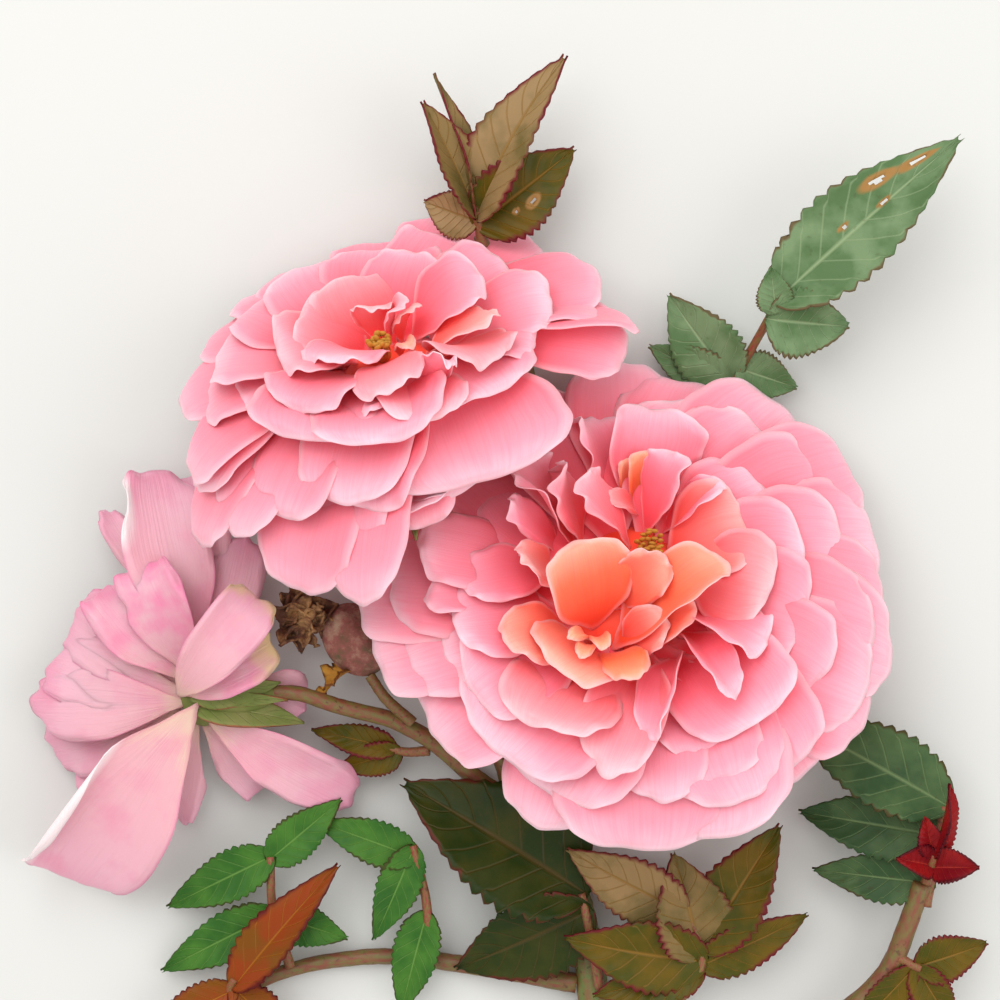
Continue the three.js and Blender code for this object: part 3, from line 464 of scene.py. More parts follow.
# The two full blooms. Each petal runs from at to tip in its bloom's own frame, on the calyx.
# The small petals count their seeds on from SMALL_SEEDS past the bloom's own.
SMALL_SEEDS = 100
LOWER_BLOOM = dict(
    at=(20.5, -16, 16.5),
    axis=(0.03, 0.36, 0.93),
    seed=509,
    under=UNDER_WHORL | dict(petals=14, seed=7, spin=20, sag=10, length=(27, 23), end=(-30, -22)),
    petals=[
        dict(at=(-3.5, -5, 2), tip=(-15, -39, -1), width=16.5, bow=33),
        dict(at=(0.5, -8, 2), tip=(2, -44, 2), width=27, bow=33),
        dict(at=(4, -8, 2.5), tip=(11, -42, 4), width=32.5, bow=26),
        dict(at=(4.5, -7.5, 2), tip=(29, -30.5, 2), width=20.5, bow=31),
        dict(at=(5.5, -5, 2), tip=(39, -22, 2), width=21, bow=31),
        dict(at=(7, -2.5, 2), tip=(44, -10.5, 2), width=21, bow=31),
        dict(at=(7, -0.5, 2), tip=(43.5, -1, 3), width=19, bow=31),
        dict(at=(7, 2, 2), tip=(42.5, 9.5, 3), width=21, bow=31),
        dict(at=(6, 4, 2), tip=(39.5, 22.5, 3), width=22, bow=31),
        dict(at=(4, 5.5, 2), tip=(28.5, 32.5, 3), width=24.5, bow=31),
        dict(at=(2.5, 7, 2), tip=(13.5, 38, 3), width=22, bow=31),
        dict(at=(1, 7, 2), tip=(0, 41.5, 4), width=19.5, bow=31),
        dict(at=(-2, 4.5, 2), tip=(-12, 34.5, 3), width=23.5, bow=31),
        dict(at=(-4.5, 3, 2), tip=(-25, 25, 2), width=23, bow=31),
        dict(at=(-6.5, 1, 2), tip=(-39, 14, 1), width=21, bow=31),
        dict(at=(-6.5, -0.5, 2), tip=(-45, 1, 0), width=21, bow=31),
        dict(at=(-7, -3, 2), tip=(-42, -10, 1), width=21, bow=31),
        dict(at=(-5.5, -5, 2), tip=(-32.5, -24, 2), width=23, bow=31),
        dict(at=(-2.5, -8, 3), tip=(-14, -34.5, 5), width=26.5, bow=30),
        dict(at=(-7.5, -3, 3), tip=(-37, -11, 5), width=22.5, bow=28),
        dict(at=(8, -2.5, 3), tip=(40, -8, 6), width=21, bow=28),
        dict(at=(4.5, 5.5, 3), tip=(24.5, 26.5, 7), width=23, bow=25),
        dict(at=(5.5, -9.5, 3), tip=(18, -36.5, 9), width=20.5, bow=28),
        dict(at=(-3.5, -9, 4), tip=(-21.5, -29, 9), width=26.5, bow=27),
        dict(at=(10, -5, 3.5), tip=(31, -16.5, 9), width=19, bow=25),
        dict(at=(10, -1, 4), tip=(28, -8, 11), width=20.5, bow=24),
        dict(at=(-7, -8, 4.5), tip=(-25.5, -20, 12), width=17.5, bow=24),
        dict(at=(8.5, -9, 2), tip=(20, -25, 14), width=21, bow=24, cup=100, cup_tip=50),
        dict(
            at=(3.5, -11, 3.5), tip=(-4.5, -33, 14), width=14, bow=28, warmth=0.15, point=0.12, cup=100,
            cup_tip=80,
        ),
        dict(
            at=(-8, 6, 5), tip=(-18, 18, 17), width=10.5, bow=16, roll=50, cup=70, cup_tip=30, ruffle=2.2,
            warmth=0.05,
        ),
        dict(
            at=(0.5, 6, 7), tip=(-7.5, 15, 18), width=9.5, bow=14, roll=46, cup=80, cup_tip=40, ruffle=1.6,
            warmth=0.12,
        ),
        dict(at=(6.5, 5.5, 5.5), tip=(19, 9, 13), width=16.5, bow=24, warmth=0.45, cup=90, cup_tip=50),
        dict(at=(-6.5, -12, 1.5), tip=(-15, -27, 17), width=19, bow=22, warmth=0.22, cup=60, cup_tip=20),
        dict(at=(-5.5, -7.5, 5.5), tip=(-8.5, 2, 21), width=15.5, bow=20, warmth=0.85, cup=120, cup_tip=70),
        dict(
            at=(-3, -10.5, 4), tip=(13.5, -0.5, 21), width=13, bow=16, roll=-26, warmth=0.85, cup=110,
            cup_tip=110,
        ),
    ],
    small_petals=[
        dict(at=(-8, -1, 3), tip=(-39, 2, 5), width=21, bow=28),
        dict(at=(6.5, -5.5, 3), tip=(39, -17.5, 5), width=21, bow=28),
        dict(at=(8, 1, 3), tip=(36, 5.5, 7), width=23, bow=27),
        dict(at=(7, 3.5, 3), tip=(34.5, 18, 6), width=23, bow=27),
        dict(at=(2.5, 6.5, 3), tip=(12, 31, 7), width=19.5, bow=25, ruffle=1.4),
        dict(at=(-1, 5.5, 3), tip=(-9, 34.5, 6), width=19.5, bow=25, ruffle=1.2),
        dict(at=(-4.5, 3.5, 3), tip=(-21.5, 19, 5), width=19, bow=25),
        dict(at=(6.5, -8.5, 3), tip=(25.5, -31, 8), width=20.5, bow=28),
        dict(at=(3, -10.5, 4), tip=(4.5, -36.5, 9), width=15.5, bow=25),
        dict(at=(8.5, 1.5, 4), tip=(28.5, 3, 11), width=21, bow=24),
        dict(at=(7, 4, 4), tip=(23.5, 14.5, 10), width=21, bow=24),
        dict(at=(5.5, -10.5, 3), tip=(14, -34, 10), width=17.5, bow=25),
        dict(at=(-12.5, 3, 2), tip=(-34, 4.5, 13), width=14, bow=20, roll=14, ruffle=1),
        dict(at=(-12.5, -2.5, 2), tip=(-33, -4, 12), width=7.5, bow=22),
        dict(at=(-8, -5.5, 4), tip=(-30.5, -11, 9), width=19, bow=25),
        dict(at=(-10.5, -4, 4), tip=(-28.5, -8.5, 13), width=16, bow=22, ruffle=1.1),
        dict(at=(-11.5, 3.5, 3), tip=(-27, -2.5, 13), width=10.5, bow=22),
        dict(at=(6.5, -12, 1.5), tip=(10, -29.5, 12), width=12.5, bow=22),
        dict(at=(8, -4.5, 5.5), tip=(21, -13, 16), width=12, bow=24, roll=-36, cup=110, cup_tip=70),
        dict(
            at=(8.5, -10, 2), tip=(2.5, -29, 17), width=9, bow=22, roll=46, cup=150, cup_tip=120,
            crease=0.3,
        ),
        dict(
            at=(8.5, -7, 3.5), tip=(15, -22, 18), width=8, bow=22, roll=-20, cup=150, cup_tip=120,
            crease=0.2,
        ),
        dict(
            at=(-10.5, 6, 3), tip=(-19.5, 11, 16), width=6.5, bow=16, roll=20, cup=90, cup_tip=60,
            ruffle=1.2,
        ),
        dict(
            at=(-7, 6, 5.5), tip=(-11.5, 16.5, 18), width=9.5, bow=12, roll=58, cup=60, cup_tip=20,
            ruffle=2, warmth=0.1,
        ),
        dict(
            at=(-1, 14.5, 1.5), tip=(-6.5, 27.5, 13), width=11.5, bow=20, roll=38, cup=70, cup_tip=30,
            ruffle=2,
        ),
        dict(at=(2.5, 13, 2), tip=(5.5, 29, 13), width=16.5, bow=20, cup=110, cup_tip=60, ruffle=1.8),
        dict(at=(3, 14, 1.5), tip=(2.5, 20.5, 13), width=7, bow=14, cup=150, cup_tip=120, warmth=1),
        dict(at=(1, 14.5, 1.5), tip=(-0.5, 19.5, 12), width=4, bow=10, cup=150, cup_tip=120, warmth=0.9),
        dict(at=(2.5, 13.5, 1.5), tip=(-3.5, 12.5, 14), width=4, bow=20, cup=80, cup_tip=60, warmth=0.35),
        dict(
            at=(3, 9, 5.5), tip=(6.5, 19.5, 17), width=9.5, bow=16, roll=-46, cup=60, cup_tip=30,
            ruffle=1.3,
        ),
        dict(at=(5.5, 9.5, 4), tip=(14.5, 14.5, 16), width=7, bow=14, roll=-30, cup=130, cup_tip=90),
        dict(at=(9, 2, 5.5), tip=(22.5, -3, 14), width=16.5, bow=26, warmth=0.25),
        dict(
            at=(-5.5, -10.5, 3), tip=(-12.5, -17.5, 18.5), width=15.5, bow=25, warmth=0.75, cup=60,
            cup_tip=20, point=0, ruffle=0.7,
        ),
        dict(at=(-8.5, -8, 3.5), tip=(-20, -13, 17), width=11, bow=22, warmth=0.7, cup=70, cup_tip=20),
        dict(at=(-2, -12, 2.5), tip=(-1, -20, 20), width=7.5, bow=30, warmth=1, cup=60, cup_tip=20),
        dict(
            at=(-11.5, 0, 3), tip=(-18, 1, 18), width=9.5, bow=22, roll=30, warmth=0.5, cup=90, cup_tip=60,
        ),
        dict(
            at=(-2.5, -4.5, 7), tip=(4.5, 0, 20), width=9, bow=16, roll=24, warmth=0.75, cup=110,
            cup_tip=70, ruffle=1.6,
        ),
        dict(
            at=(-2, -10, 5), tip=(9, -3.5, 15), width=12.5, bow=20, roll=-10, warmth=0.75, cup=90,
            cup_tip=50,
        ),
        dict(at=(-1, -10.5, 4.5), tip=(5, -9.5, 16), width=8, bow=20, warmth=0.6, cup=90, cup_tip=50),
        dict(at=(-6.5, -11, 2), tip=(-8.5, -15.5, 19), width=3.5, bow=20, warmth=1, cup=110, cup_tip=80),
        dict(at=(-7, -10, 2.5), tip=(-10, -12.5, 19), width=3, bow=20, warmth=1, cup=110, cup_tip=80),
        dict(at=(-5.5, -10.5, 3.5), tip=(-5, -14, 19), width=3.5, bow=20, warmth=1, cup=110, cup_tip=80),
    ],
)
UPPER_BLOOM = dict(
    at=(-15.5, 15, 25.5),
    axis=(-0.16, 0.72, 0.67),
    seed=706,
    under=UNDER_WHORL | dict(petals=12, seed=107, spin=0, sag=14, length=(19, 16), end=(-28, -20)),
    petals=[
        dict(at=(-2.5, 6, 1), tip=(-19.5, -25.5, -15), width=18.5, bow=37),
        dict(at=(0.5, 5.5, 1), tip=(-9.5, -30, -14), width=16.5, bow=37),
        dict(at=(-7.5, 7, 1), tip=(-36.5, -13, -12), width=16, bow=36),
        dict(at=(-2, 5, 2), tip=(-12.5, -23.5, -9), width=18.5, bow=36),
        dict(at=(-6.5, 7, 2), tip=(-29.5, -17.5, -7), width=16.5, bow=34),
        dict(at=(-4, 4, 3), tip=(-20.5, -20, -3), width=16.5, bow=34),
        dict(at=(-7.5, 7.5, 3), tip=(-35, -8.5, -4), width=16, bow=33),
        dict(at=(6.5, 6, 4), tip=(13, -19, -2), width=32, bow=34, roll=-6),
        dict(at=(-1.5, 2.5, 4), tip=(-8.5, -23, 1), width=18.5, bow=34),
        dict(at=(-7.5, 9.5, 3), tip=(-38, 6.5, 1), width=17, bow=30),
        dict(at=(8, 10, 2), tip=(37, 10.5, -3), width=17, bow=30, roll=10),
        dict(at=(8, 9.5, 2), tip=(39.5, 13.5, 0), width=11, bow=27, roll=-22),
        dict(at=(7, 14.5, 0.5), tip=(33.5, 22.5, 4), width=15.5, bow=27),
        dict(at=(5, 16.5, 0), tip=(22, 36, 4), width=15, bow=27),
        dict(at=(0.5, 19, 0), tip=(8, 44.5, 4), width=14, bow=25),
        dict(at=(-3.5, 19, 0), tip=(-13.5, 35.5, 5), width=14, bow=25),
        dict(at=(-5.5, 18, 0), tip=(-22.5, 34, 4), width=16, bow=27),
        dict(at=(-7.5, 12.5, 1.5), tip=(-34, 19.5, 3), width=15, bow=28),
        dict(at=(-9, 5.5, 4.5), tip=(-24, -5, 8), width=22.5, bow=25),
        dict(at=(-8.5, 8.5, 2.5), tip=(-30.5, 10, 8), width=24, bow=25),
        dict(at=(-7.5, 12.5, 1.5), tip=(-25, 23, 8), width=23, bow=24),
        dict(at=(-2.5, 16.5, 0.5), tip=(-3, 32.5, 9), width=20, bow=22),
        dict(at=(4.5, 13.5, 1.5), tip=(18.5, 22, 9), width=18.5, bow=22),
        dict(at=(5.5, 4.5, 5), tip=(16.5, -10, 9), width=23, bow=27, roll=-12),
        dict(at=(-6.5, 1, 6), tip=(-13, -16.5, 10), width=23, bow=27),
        dict(at=(-1, -1.5, 6), tip=(-1.5, -21.5, 12), width=21.5, bow=27),
        dict(at=(6.5, 3.5, 6.5), tip=(18, -5.5, 13), width=15.5, bow=28, roll=-24, ruffle=1.2, warmth=0.2),
        dict(at=(-6, 1, 6.5), tip=(-14, -12, 13), width=18, bow=25),
        dict(at=(-5.5, 9.5, 4), tip=(-14.5, 12.5, 13), width=18.5, bow=22, warmth=0.15),
        dict(at=(2, 9, 5.5), tip=(15.5, 11, 15), width=14.5, bow=24, cup=100, cup_tip=60),
        dict(at=(-0.5, 1, 7.5), tip=(1.5, -16.5, 17), width=11.5, bow=25, warmth=0.15),
    ],
    small_petals=[
        dict(at=(5.5, 1, 4), tip=(-5, -23.5, -1), width=13.5, bow=31, ruffle=1.2),
        dict(at=(-7.5, 7.5, 3), tip=(-35.5, -10, -1), width=14.5, bow=31),
        dict(at=(-7, 7.5, 4), tip=(-33, 0, 4), width=14.5, bow=28),
        dict(at=(8, 11, 1.5), tip=(33.5, 14.5, 3), width=11, bow=27, roll=-20),
        dict(at=(3, 18, 0), tip=(15, 41, 4), width=15.5, bow=25),
        dict(at=(-1.5, 19.5, 0), tip=(-5.5, 39.5, 5), width=15.5, bow=25),
        dict(at=(-6.5, 15.5, 0), tip=(-28, 29, 4), width=14.5, bow=27),
        dict(at=(-6, 14.5, 0.5), tip=(-15.5, 29.5, 9), width=22, bow=24),
        dict(at=(0.5, 16.5, 0.5), tip=(9, 32.5, 9), width=18.5, bow=22, ruffle=1.3),
        dict(at=(6.5, 10, 3), tip=(26, 12, 9), width=14.5, bow=24),
        dict(at=(7.5, 5.5, 5), tip=(23, 3, 8), width=12.5, bow=25, roll=-10),
        dict(at=(3, -2, 7), tip=(7, -18.5, 13), width=14, bow=24, roll=-10, warmth=0.12, ruffle=0.5),
        dict(at=(2.5, 6.5, 2.5), tip=(4.5, -18.5, -5), width=19, bow=35),
        dict(at=(-6.5, 6, 5.5), tip=(-18.5, 2.5, 13), width=20, bow=25, warmth=0.1),
        dict(at=(-4, 12.5, 2), tip=(-8, 19, 13), width=18.5, bow=28, warmth=0.2),
        dict(at=(0, 14.5, 1.5), tip=(4.5, 23, 13), width=17, bow=26, ruffle=1.3),
        dict(at=(3.5, 0, 7), tip=(18, 2, 15), width=11.5, bow=24, roll=-20, cup=90, cup_tip=60, warmth=0.5),
        dict(at=(-3.5, 3.5, 7), tip=(-9, -6, 16), width=14.5, bow=28),
        dict(at=(4, -6.5, 6), tip=(-3, -16, 14), width=5, bow=20, roll=14, ruffle=0.4),
        dict(
            at=(5, -7.5, 5.5), tip=(11, -11.5, 19), width=5.5, bow=14, roll=-50, cup=80, cup_tip=60,
            ruffle=1.2,
        ),
        dict(at=(-2.5, 8.5, 5.5), tip=(-2.5, 5.5, 17), width=7.5, bow=18, cup=110, cup_tip=80, warmth=0.3),
        dict(at=(0, 7, 6.5), tip=(2.5, 6, 17), width=6, bow=18, cup=110, cup_tip=80, warmth=0.15),
        dict(at=(0.5, 9.5, 5.5), tip=(3.5, 6, 15), width=6, bow=16, cup=70, cup_tip=40, warmth=0.45),
        dict(at=(1, 3, 7.5), tip=(4, -4, 16), width=3.5, bow=18, cup=110, cup_tip=80, warmth=0.8),
    ],
)
# The body that the petals stand on: a lens and a mound, in the bloom's own frame.
BLOOM_CORE = (18, 18, 5.2)
CORE_DROP = 1.4
BLOOM_MOUND = (13, 13, 8)
# Deep inside, the body has the warm colour of a petal's foot, partly painted shade of the heart's recess. It
# pales over these radii and these heights.
CORE_WARMTH = 0.7
CORE_PALES = (9, 16)
CORE_LEVELS = (-3, 1)
CORE_PALE = 0.55


def make_bloom(name, bloom, paint):
    """A double bloom: the whorls behind, the petals that show, and the body that they stand on."""
    place = upright(bloom["at"], bloom["axis"])
    large = whorl(UNDERSIDE) + whorl(bloom["under"]) + placed_petals(bloom["petals"], bloom["seed"])
    small = placed_petals(bloom["small_petals"], bloom["seed"] + SMALL_SEEDS)
    for part, petals in (("large_petals", large), ("small_petals", small)):
        mesh = new_mesh()
        for petal in petals:
            add_petal(mesh, petal, place, PETAL_CELLS)
        finish_piece(mesh, name + "_" + part, paint, [name], PETAL_THICK)
    finish_piece(bloom_core(place), name + "_core", paint, [name])


def bloom_core(place):
    """The closed body of a full bloom, with its colours."""
    core = new_mesh()
    add_ball(core, BLOOM_CORE, place @ Matrix.Translation((0, 0, -CORE_DROP)))
    add_ball(core, BLOOM_MOUND, place)
    warmth, along = core.verts.layers.float["warmth"], core.verts.layers.float["along"]
    own = place.inverted()
    for v in core.verts:
        spot = own @ (v.co / MM - SHIFT)
        # The deep warm foot colour at the heart is partly painted shade of its recess.
        deep = ease(*CORE_LEVELS, spot.z) * (1 - ease(*CORE_PALES, spot.xy.length))
        v[warmth] = CORE_WARMTH * deep
        v[along] = mix(CORE_PALE, 0, deep)
    return core


# Leaves.


def blade_width(t):
    """A leaflet's width from its root to its tip, as a share of its widest."""
    return math.sin(math.pi * t**0.78) ** 0.8 * (1 - 0.25 * t) + 0.1 * (1 - t)


def leaflet_point(leaf, a, b):
    """A corner of a leaflet or sepal: an oval toothed blade, folded, bowed, twisted and quilted."""
    t = clamp((b + 1) / 2)
    outer = abs(a) ** 5
    tooth = (t * leaf["teeth"]) % 1
    bite = leaf["bite"] * outer * ease(0, 0.12, t) * (tooth - 0.6)
    side = a * leaf["wide"] * max(0.06, blade_width(t)) / 2 * (1 + bite)
    sag = leaf["bow"] * (t - 0.25) ** 2
    turn = math.radians(leaf["twist"]) * t
    lift = leaf["fold"] * abs(side)
    swell = math.cos(math.tau * (t * VEINS - abs(a) * VEIN_RISE))
    lift += leaf["quilt"] * swell * (1 - outer) * abs(a) ** 0.5
    lift += leaf["wave"] * abs(a) ** 3 * math.sin(9 * t + 3 * wobble(leaf["seed"], 41) + a)
    return Vector(
        (
            leaf["length"] * (t + 0.25 * abs(bite)),
            side * math.cos(turn) - lift * math.sin(turn),
            -leaf["length"] * sag + side * math.sin(turn) + lift * math.cos(turn),
        )
    )


def add_leaflet(mesh, leaf, cells):
    """A leaflet or sepal. A hole is (a, b, its reach), and the blade is dry round it."""
    scar = mesh.verts.layers.float["scar"]
    verts = add_blade(
        mesh, lambda a, b: leaf["frame"] @ leaflet_point(leaf, a, b), cells,
        warmth=leaf["flush"], tint=wobble(leaf["seed"], 42),
    )
    if leaf["holes"]:
        uv = mesh.loops.layers.uv["blade_uv"]
        eaten = []
        for face in {f for v in verts for f in v.link_faces}:
            for loop in face.loops:
                spot = loop[uv].uv * 2 - Vector((1, 1))
                near = min((spot - Vector(h[:2])).length / h[2] for h in leaf["holes"])
                loop.vert[scar] = clamp(2 - near)
            middle = sum((loop[uv].uv for loop in face.loops), Vector((0, 0))) / 4 * 2 - Vector((1, 1))
            if any((middle - Vector(h[:2])).length < HOLE_OPEN * h[2] for h in leaf["holes"]):
                eaten.append(face)
        bmesh.ops.delete(mesh, geom=eaten, context="FACES")


def leaflet_of(row, seed, base):
    """A leaflet or sepal from its root to its tip. Its roll turns it on its midrib."""
    root, along = Vector(row["root"]), Vector(row["tip"]) - Vector(row["root"])
    face = Quaternion(along.normalized(), math.radians(row.get("roll", 0))) @ Vector((0, 0, 1))
    shape = base | {"seed": seed} | row
    shape["length"] = along.length * (1 + ROOT_SUNK)
    shape["frame"] = frame_from(root - along * ROOT_SUNK, along, face)
    return shape


# The eleven leaves. A paint is the name of a finish, and a hole is at (a, b) with the reach of its dry patch.
LEAVES = {
    "leaf_top_shoot": dict(
        paint="young_leaf",
        stalk=[(-3.2, 44, 9.6), (-3.6, 46, 10.6), (-4, 48, 12)],
        leaflets=[
            dict(root=(-4, 47.6, 12), tip=(7.7, 72.8, 20), wide=13, roll=-32, fold=0.4, flush=0.8, bow=0.3),
            dict(
                root=(-3.6, 46, 11), tip=(12, 57.6, 15), wide=14, roll=10, bow=0.25,
                holes=((-0.4, 0.02, 0.1), (-0.3, -0.3, 0.05)),
            ),
            dict(root=(-4, 47.6, 12), tip=(-12, 65.6, 16), wide=10, roll=34, fold=0.6, flush=0.5),
            dict(root=(-3.8, 46.6, 11), tip=(-12.8, 50, 9), wide=9, roll=-20, flush=1.0),
            dict(root=(-4, 47.6, 12), tip=(-9.5, 71, 12), wide=6, roll=60, fold=0.7, flush=0.6),
        ],
    ),
    "leaf_upper_right": dict(
        paint="greyed_leaf",
        stalk=[
            (10.8, -15, 1.5), (24, -4, 1.3), (34, 9, 1.4),
            (39.6, 20, 2.8), (44.4, 29.4, 10.6), (46.6, 34, 14.6),
        ],
        leaflets=[
            dict(
                root=(46.4, 33.6, 15), tip=(74.9, 59.5, 19), wide=16.5, roll=-12, bow=0.1, wave=0.8,
                holes=((0.5, 0.64, 0.13), (0.6, 0.3, 0.12), (0.05, 0.21, 0.05), (0.2, -0.17, 0.04)),
            ),
            dict(root=(45.6, 31, 14.6), tip=(44.6, 38, 17), wide=6.5),
            dict(root=(44.6, 30, 14), tip=(57.9, 28.5, 14), wide=12.5, roll=14, bow=0.3, wave=0.9),
            dict(root=(39.4, 20.4, 3.4), tip=(28.5, 33.6, 8), wide=13, roll=-18, bow=0.25),
            dict(root=(38.4, 17.8, 2.4), tip=(31, 18.6, 3), wide=8, roll=20),
            dict(root=(39, 19.4, 2.8), tip=(25.6, 25.8, 5), wide=9, roll=-14),
            dict(root=(40.6, 22.4, 4.4), tip=(50, 19, 6), wide=9, roll=10),
        ],
    ),
    "leaf_lower_right": dict(
        paint="mature_leaf",
        stalk=[(71.4, -66.4, 11), (72.6, -60, 11), (74, -51, 12)],
        leaflets=[
            dict(root=(74, -50.6, 12), tip=(48.8, -36.5, 7), wide=15, roll=14, bow=0.1),
            dict(root=(73, -56, 11), tip=(50.9, -52.8, 5.5), wide=12, roll=8),
            dict(root=(72, -64, 11), tip=(53, -62.4, 7), wide=9, roll=6),
        ],
    ),
    "leaf_dark": dict(
        paint="dark_leaf",
        stalk=[(16.6, -81, 7.2), (15.4, -74, 8.6), (13.6, -66, 9.2)],
        leaflets=[
            dict(root=(13.8, -65.6, 9.2), tip=(-15.2, -47.2, 11), wide=22, roll=14, bow=0.2),
            dict(root=(14.6, -69, 9), tip=(-7.2, -80, 5.6), wide=16, roll=-12, bow=0.15),
        ],
    ),
    "leaf_young_low": dict(
        paint="young_leaf",
        stalk=[(19.4, -91, 4.6), (26, -88, 7), (33.6, -79, 9), (33, -73, 9.6), (30.4, -68.6, 10)],
        leaflets=[
            dict(root=(34, -77.3, 9.6), tip=(11.5, -73.9, 13), wide=13.5, roll=-10, bow=0.22),
            dict(root=(33.6, -76.6, 9.4), tip=(29.5, -59.5, 12), wide=14.5, roll=14, bow=0.2, flush=0.5),
            dict(root=(33.6, -79, 9.2), tip=(16, -83, 9.6), wide=9, roll=10),
            dict(root=(30.4, -68.8, 10), tip=(11.5, -58.9, 12.4), wide=12, roll=-14, flush=0.8),
            dict(root=(33.8, -78, 9.2), tip=(51.5, -70.1, 9.6), wide=9, roll=12),
            dict(root=(34, -75, 9.6), tip=(46.4, -54.7, 11), wide=13, roll=-14),
        ],
    ),
    "leaf_bronze": dict(
        paint="bronze_leaf",
        stalk=[(-45.4, -84.4, 6), (-45.6, -82.6, 7), (-44.6, -80.6, 8)],
        leaflets=[
            dict(root=(-44.5, -81.6, 8), tip=(-28, -61.1, 12), wide=9.5, roll=-24, fold=0.4),
            dict(root=(-45, -82.6, 7.4), tip=(-60, -90, 8), wide=8, roll=10),
            dict(root=(-44.8, -82.4, 7.4), tip=(-33, -93, 7), wide=8, roll=-10),
        ],
    ),
    "leaf_left_low": dict(
        paint="fresh_leaf",
        stalk=[(-36, -77.8, 4.6), (-38.4, -69, 6.6), (-38.6, -60, 8)],
        leaflets=[
            dict(root=(-38.6, -60, 8), tip=(-56.5, -69, 5), wide=9, roll=8),
            dict(root=(-38.6, -60.4, 8), tip=(-27, -50.6, 9), wide=8),
            dict(root=(-38.4, -70, 6.4), tip=(-57.6, -80, 4), wide=9, roll=10),
            dict(root=(-38.2, -70, 6.4), tip=(-26, -74, 7), wide=8),
        ],
    ),
    "leaf_left_mid": dict(
        paint="fresh_leaf",
        stalk=[(-12, -77, 4.6), (-12.4, -68, 7), (-14.6, -58, 8.6)],
        leaflets=[
            dict(root=(-14.6, -58.6, 8.6), tip=(-21, -74, 8.4), wide=8, roll=-10),
            dict(root=(-14.4, -60, 8.4), tip=(-31, -54, 8), wide=8, roll=10),
            dict(root=(-12.4, -70, 6.6), tip=(-17, -87, 5), wide=8.5, roll=10),
        ],
    ),
    "leaf_spent_stalk": dict(
        paint="young_leaf",
        stalk=[(-13.4, -42.4, 6.6), (-16, -42.6, 6), (-18.6, -42, 5.8)],
        leaflets=[
            dict(root=(-18, -42, 6), tip=(-31.6, -38.8, 6.4), wide=6, roll=10),
            dict(root=(-17, -42.6, 6), tip=(-27.4, -45.6, 5), wide=6.5, roll=-10),
        ],
    ),
    "leaf_side_shoot": dict(
        paint="red_leaf",
        stalk=[(71.2, -62.4, 12.6), (71.6, -60.6, 13.4), (72, -58.8, 14)],
        leaflets=[
            dict(root=(71.4, -60.6, 13.4), tip=(65.6, -59, 17), wide=6, roll=20, fold=0.7),
            dict(root=(71.6, -61, 13.4), tip=(78.6, -60.4, 17), wide=6.5, roll=-20, fold=0.7),
            dict(root=(72, -58.8, 14), tip=(74.4, -47, 19), wide=5, roll=60, fold=0.8),
            dict(root=(71.8, -59, 14), tip=(70.2, -52.6, 15.6), wide=5, fold=0.5),
        ],
    ),
    "leaf_side_low": dict(
        paint="young_leaf",
        stalk=[(68.2, -77.4, 9.8), (69.4, -78, 10), (70.4, -78.4, 10)],
        leaflets=[
            dict(root=(69.8, -78, 10), tip=(81.6, -74.4, 10), wide=9, roll=10),
            dict(root=(69, -78.6, 9.8), tip=(59, -90.4, 7), wide=7, roll=-10),
            dict(root=(69.8, -78.4, 10), tip=(76.4, -89, 8), wide=7.4, roll=10),
        ],
    ),
}
LEAF_STALK_RADIUS = 0.7
# A leaf stalk is LEAF_STALK_ROOT times as thick at its root, and runs LEAF_STALK_SUNK into what carries it.
LEAF_STALK_ROOT = 1.3
LEAF_STALK_SUNK = 1.5
# How far apart the seeds of two leaves are.
LEAF_SEEDS = 40


def leaf_stalk_radius(t):
    """A leaf stalk's radius from its root to its leaf."""
    return mix(LEAF_STALK_ROOT, 1, t) * LEAF_STALK_RADIUS


def make_leaves(paints):
    """Each leaf's blades, and all the thin leaf stalks together."""
    stalks = new_mesh()
    for at, (name, leaf) in enumerate(LEAVES.items()):
        blades = new_mesh()
        for i, row in enumerate(leaf["leaflets"]):
            cells = HOLED_LEAFLET_CELLS if "holes" in row else LEAFLET_CELLS
            add_leaflet(blades, leaflet_of(row, LEAF_SEEDS * at + i, LEAF_SHAPE), cells)
        finish_piece(blades, name + "_blades", paints[leaf["paint"]], [name], LEAF_THICK)
        add_limb(
            stalks, leaf["stalk"], leaf_stalk_radius, sides=10, steps=24, relief=BARK_RELIEF, seed=at,
            sunk=LEAF_STALK_SUNK,
        )
    face_outwards(stalks)
    finish_piece(stalks, "leaf_stalks", paints["leaf_stalk"], list(LEAVES))


# The cane, from below the picture up to its fork. Its prickles stand at these hundredths of its length.
CANE_LINE = [(14.4, -104, 2.9), (16, -89.6, 2.9), (14.4, -73.6, 3.1), (9.6, -59.2, 3.6), (3.2, -51.2, 4.4)]
CANE_RADIUS = 2.9
FORK_RADIUS = 1.9
PRICKLES = (12, 30, 47, 62, 78)
PRICKLE_LONG = 4.6
PRICKLE_HOOK = 0.8
PRICKLE_RADII = (1.5, 0.05)
# A prickle's root is inside the bark, at this share of the cane's radius.
PRICKLE_ROOT = 0.7
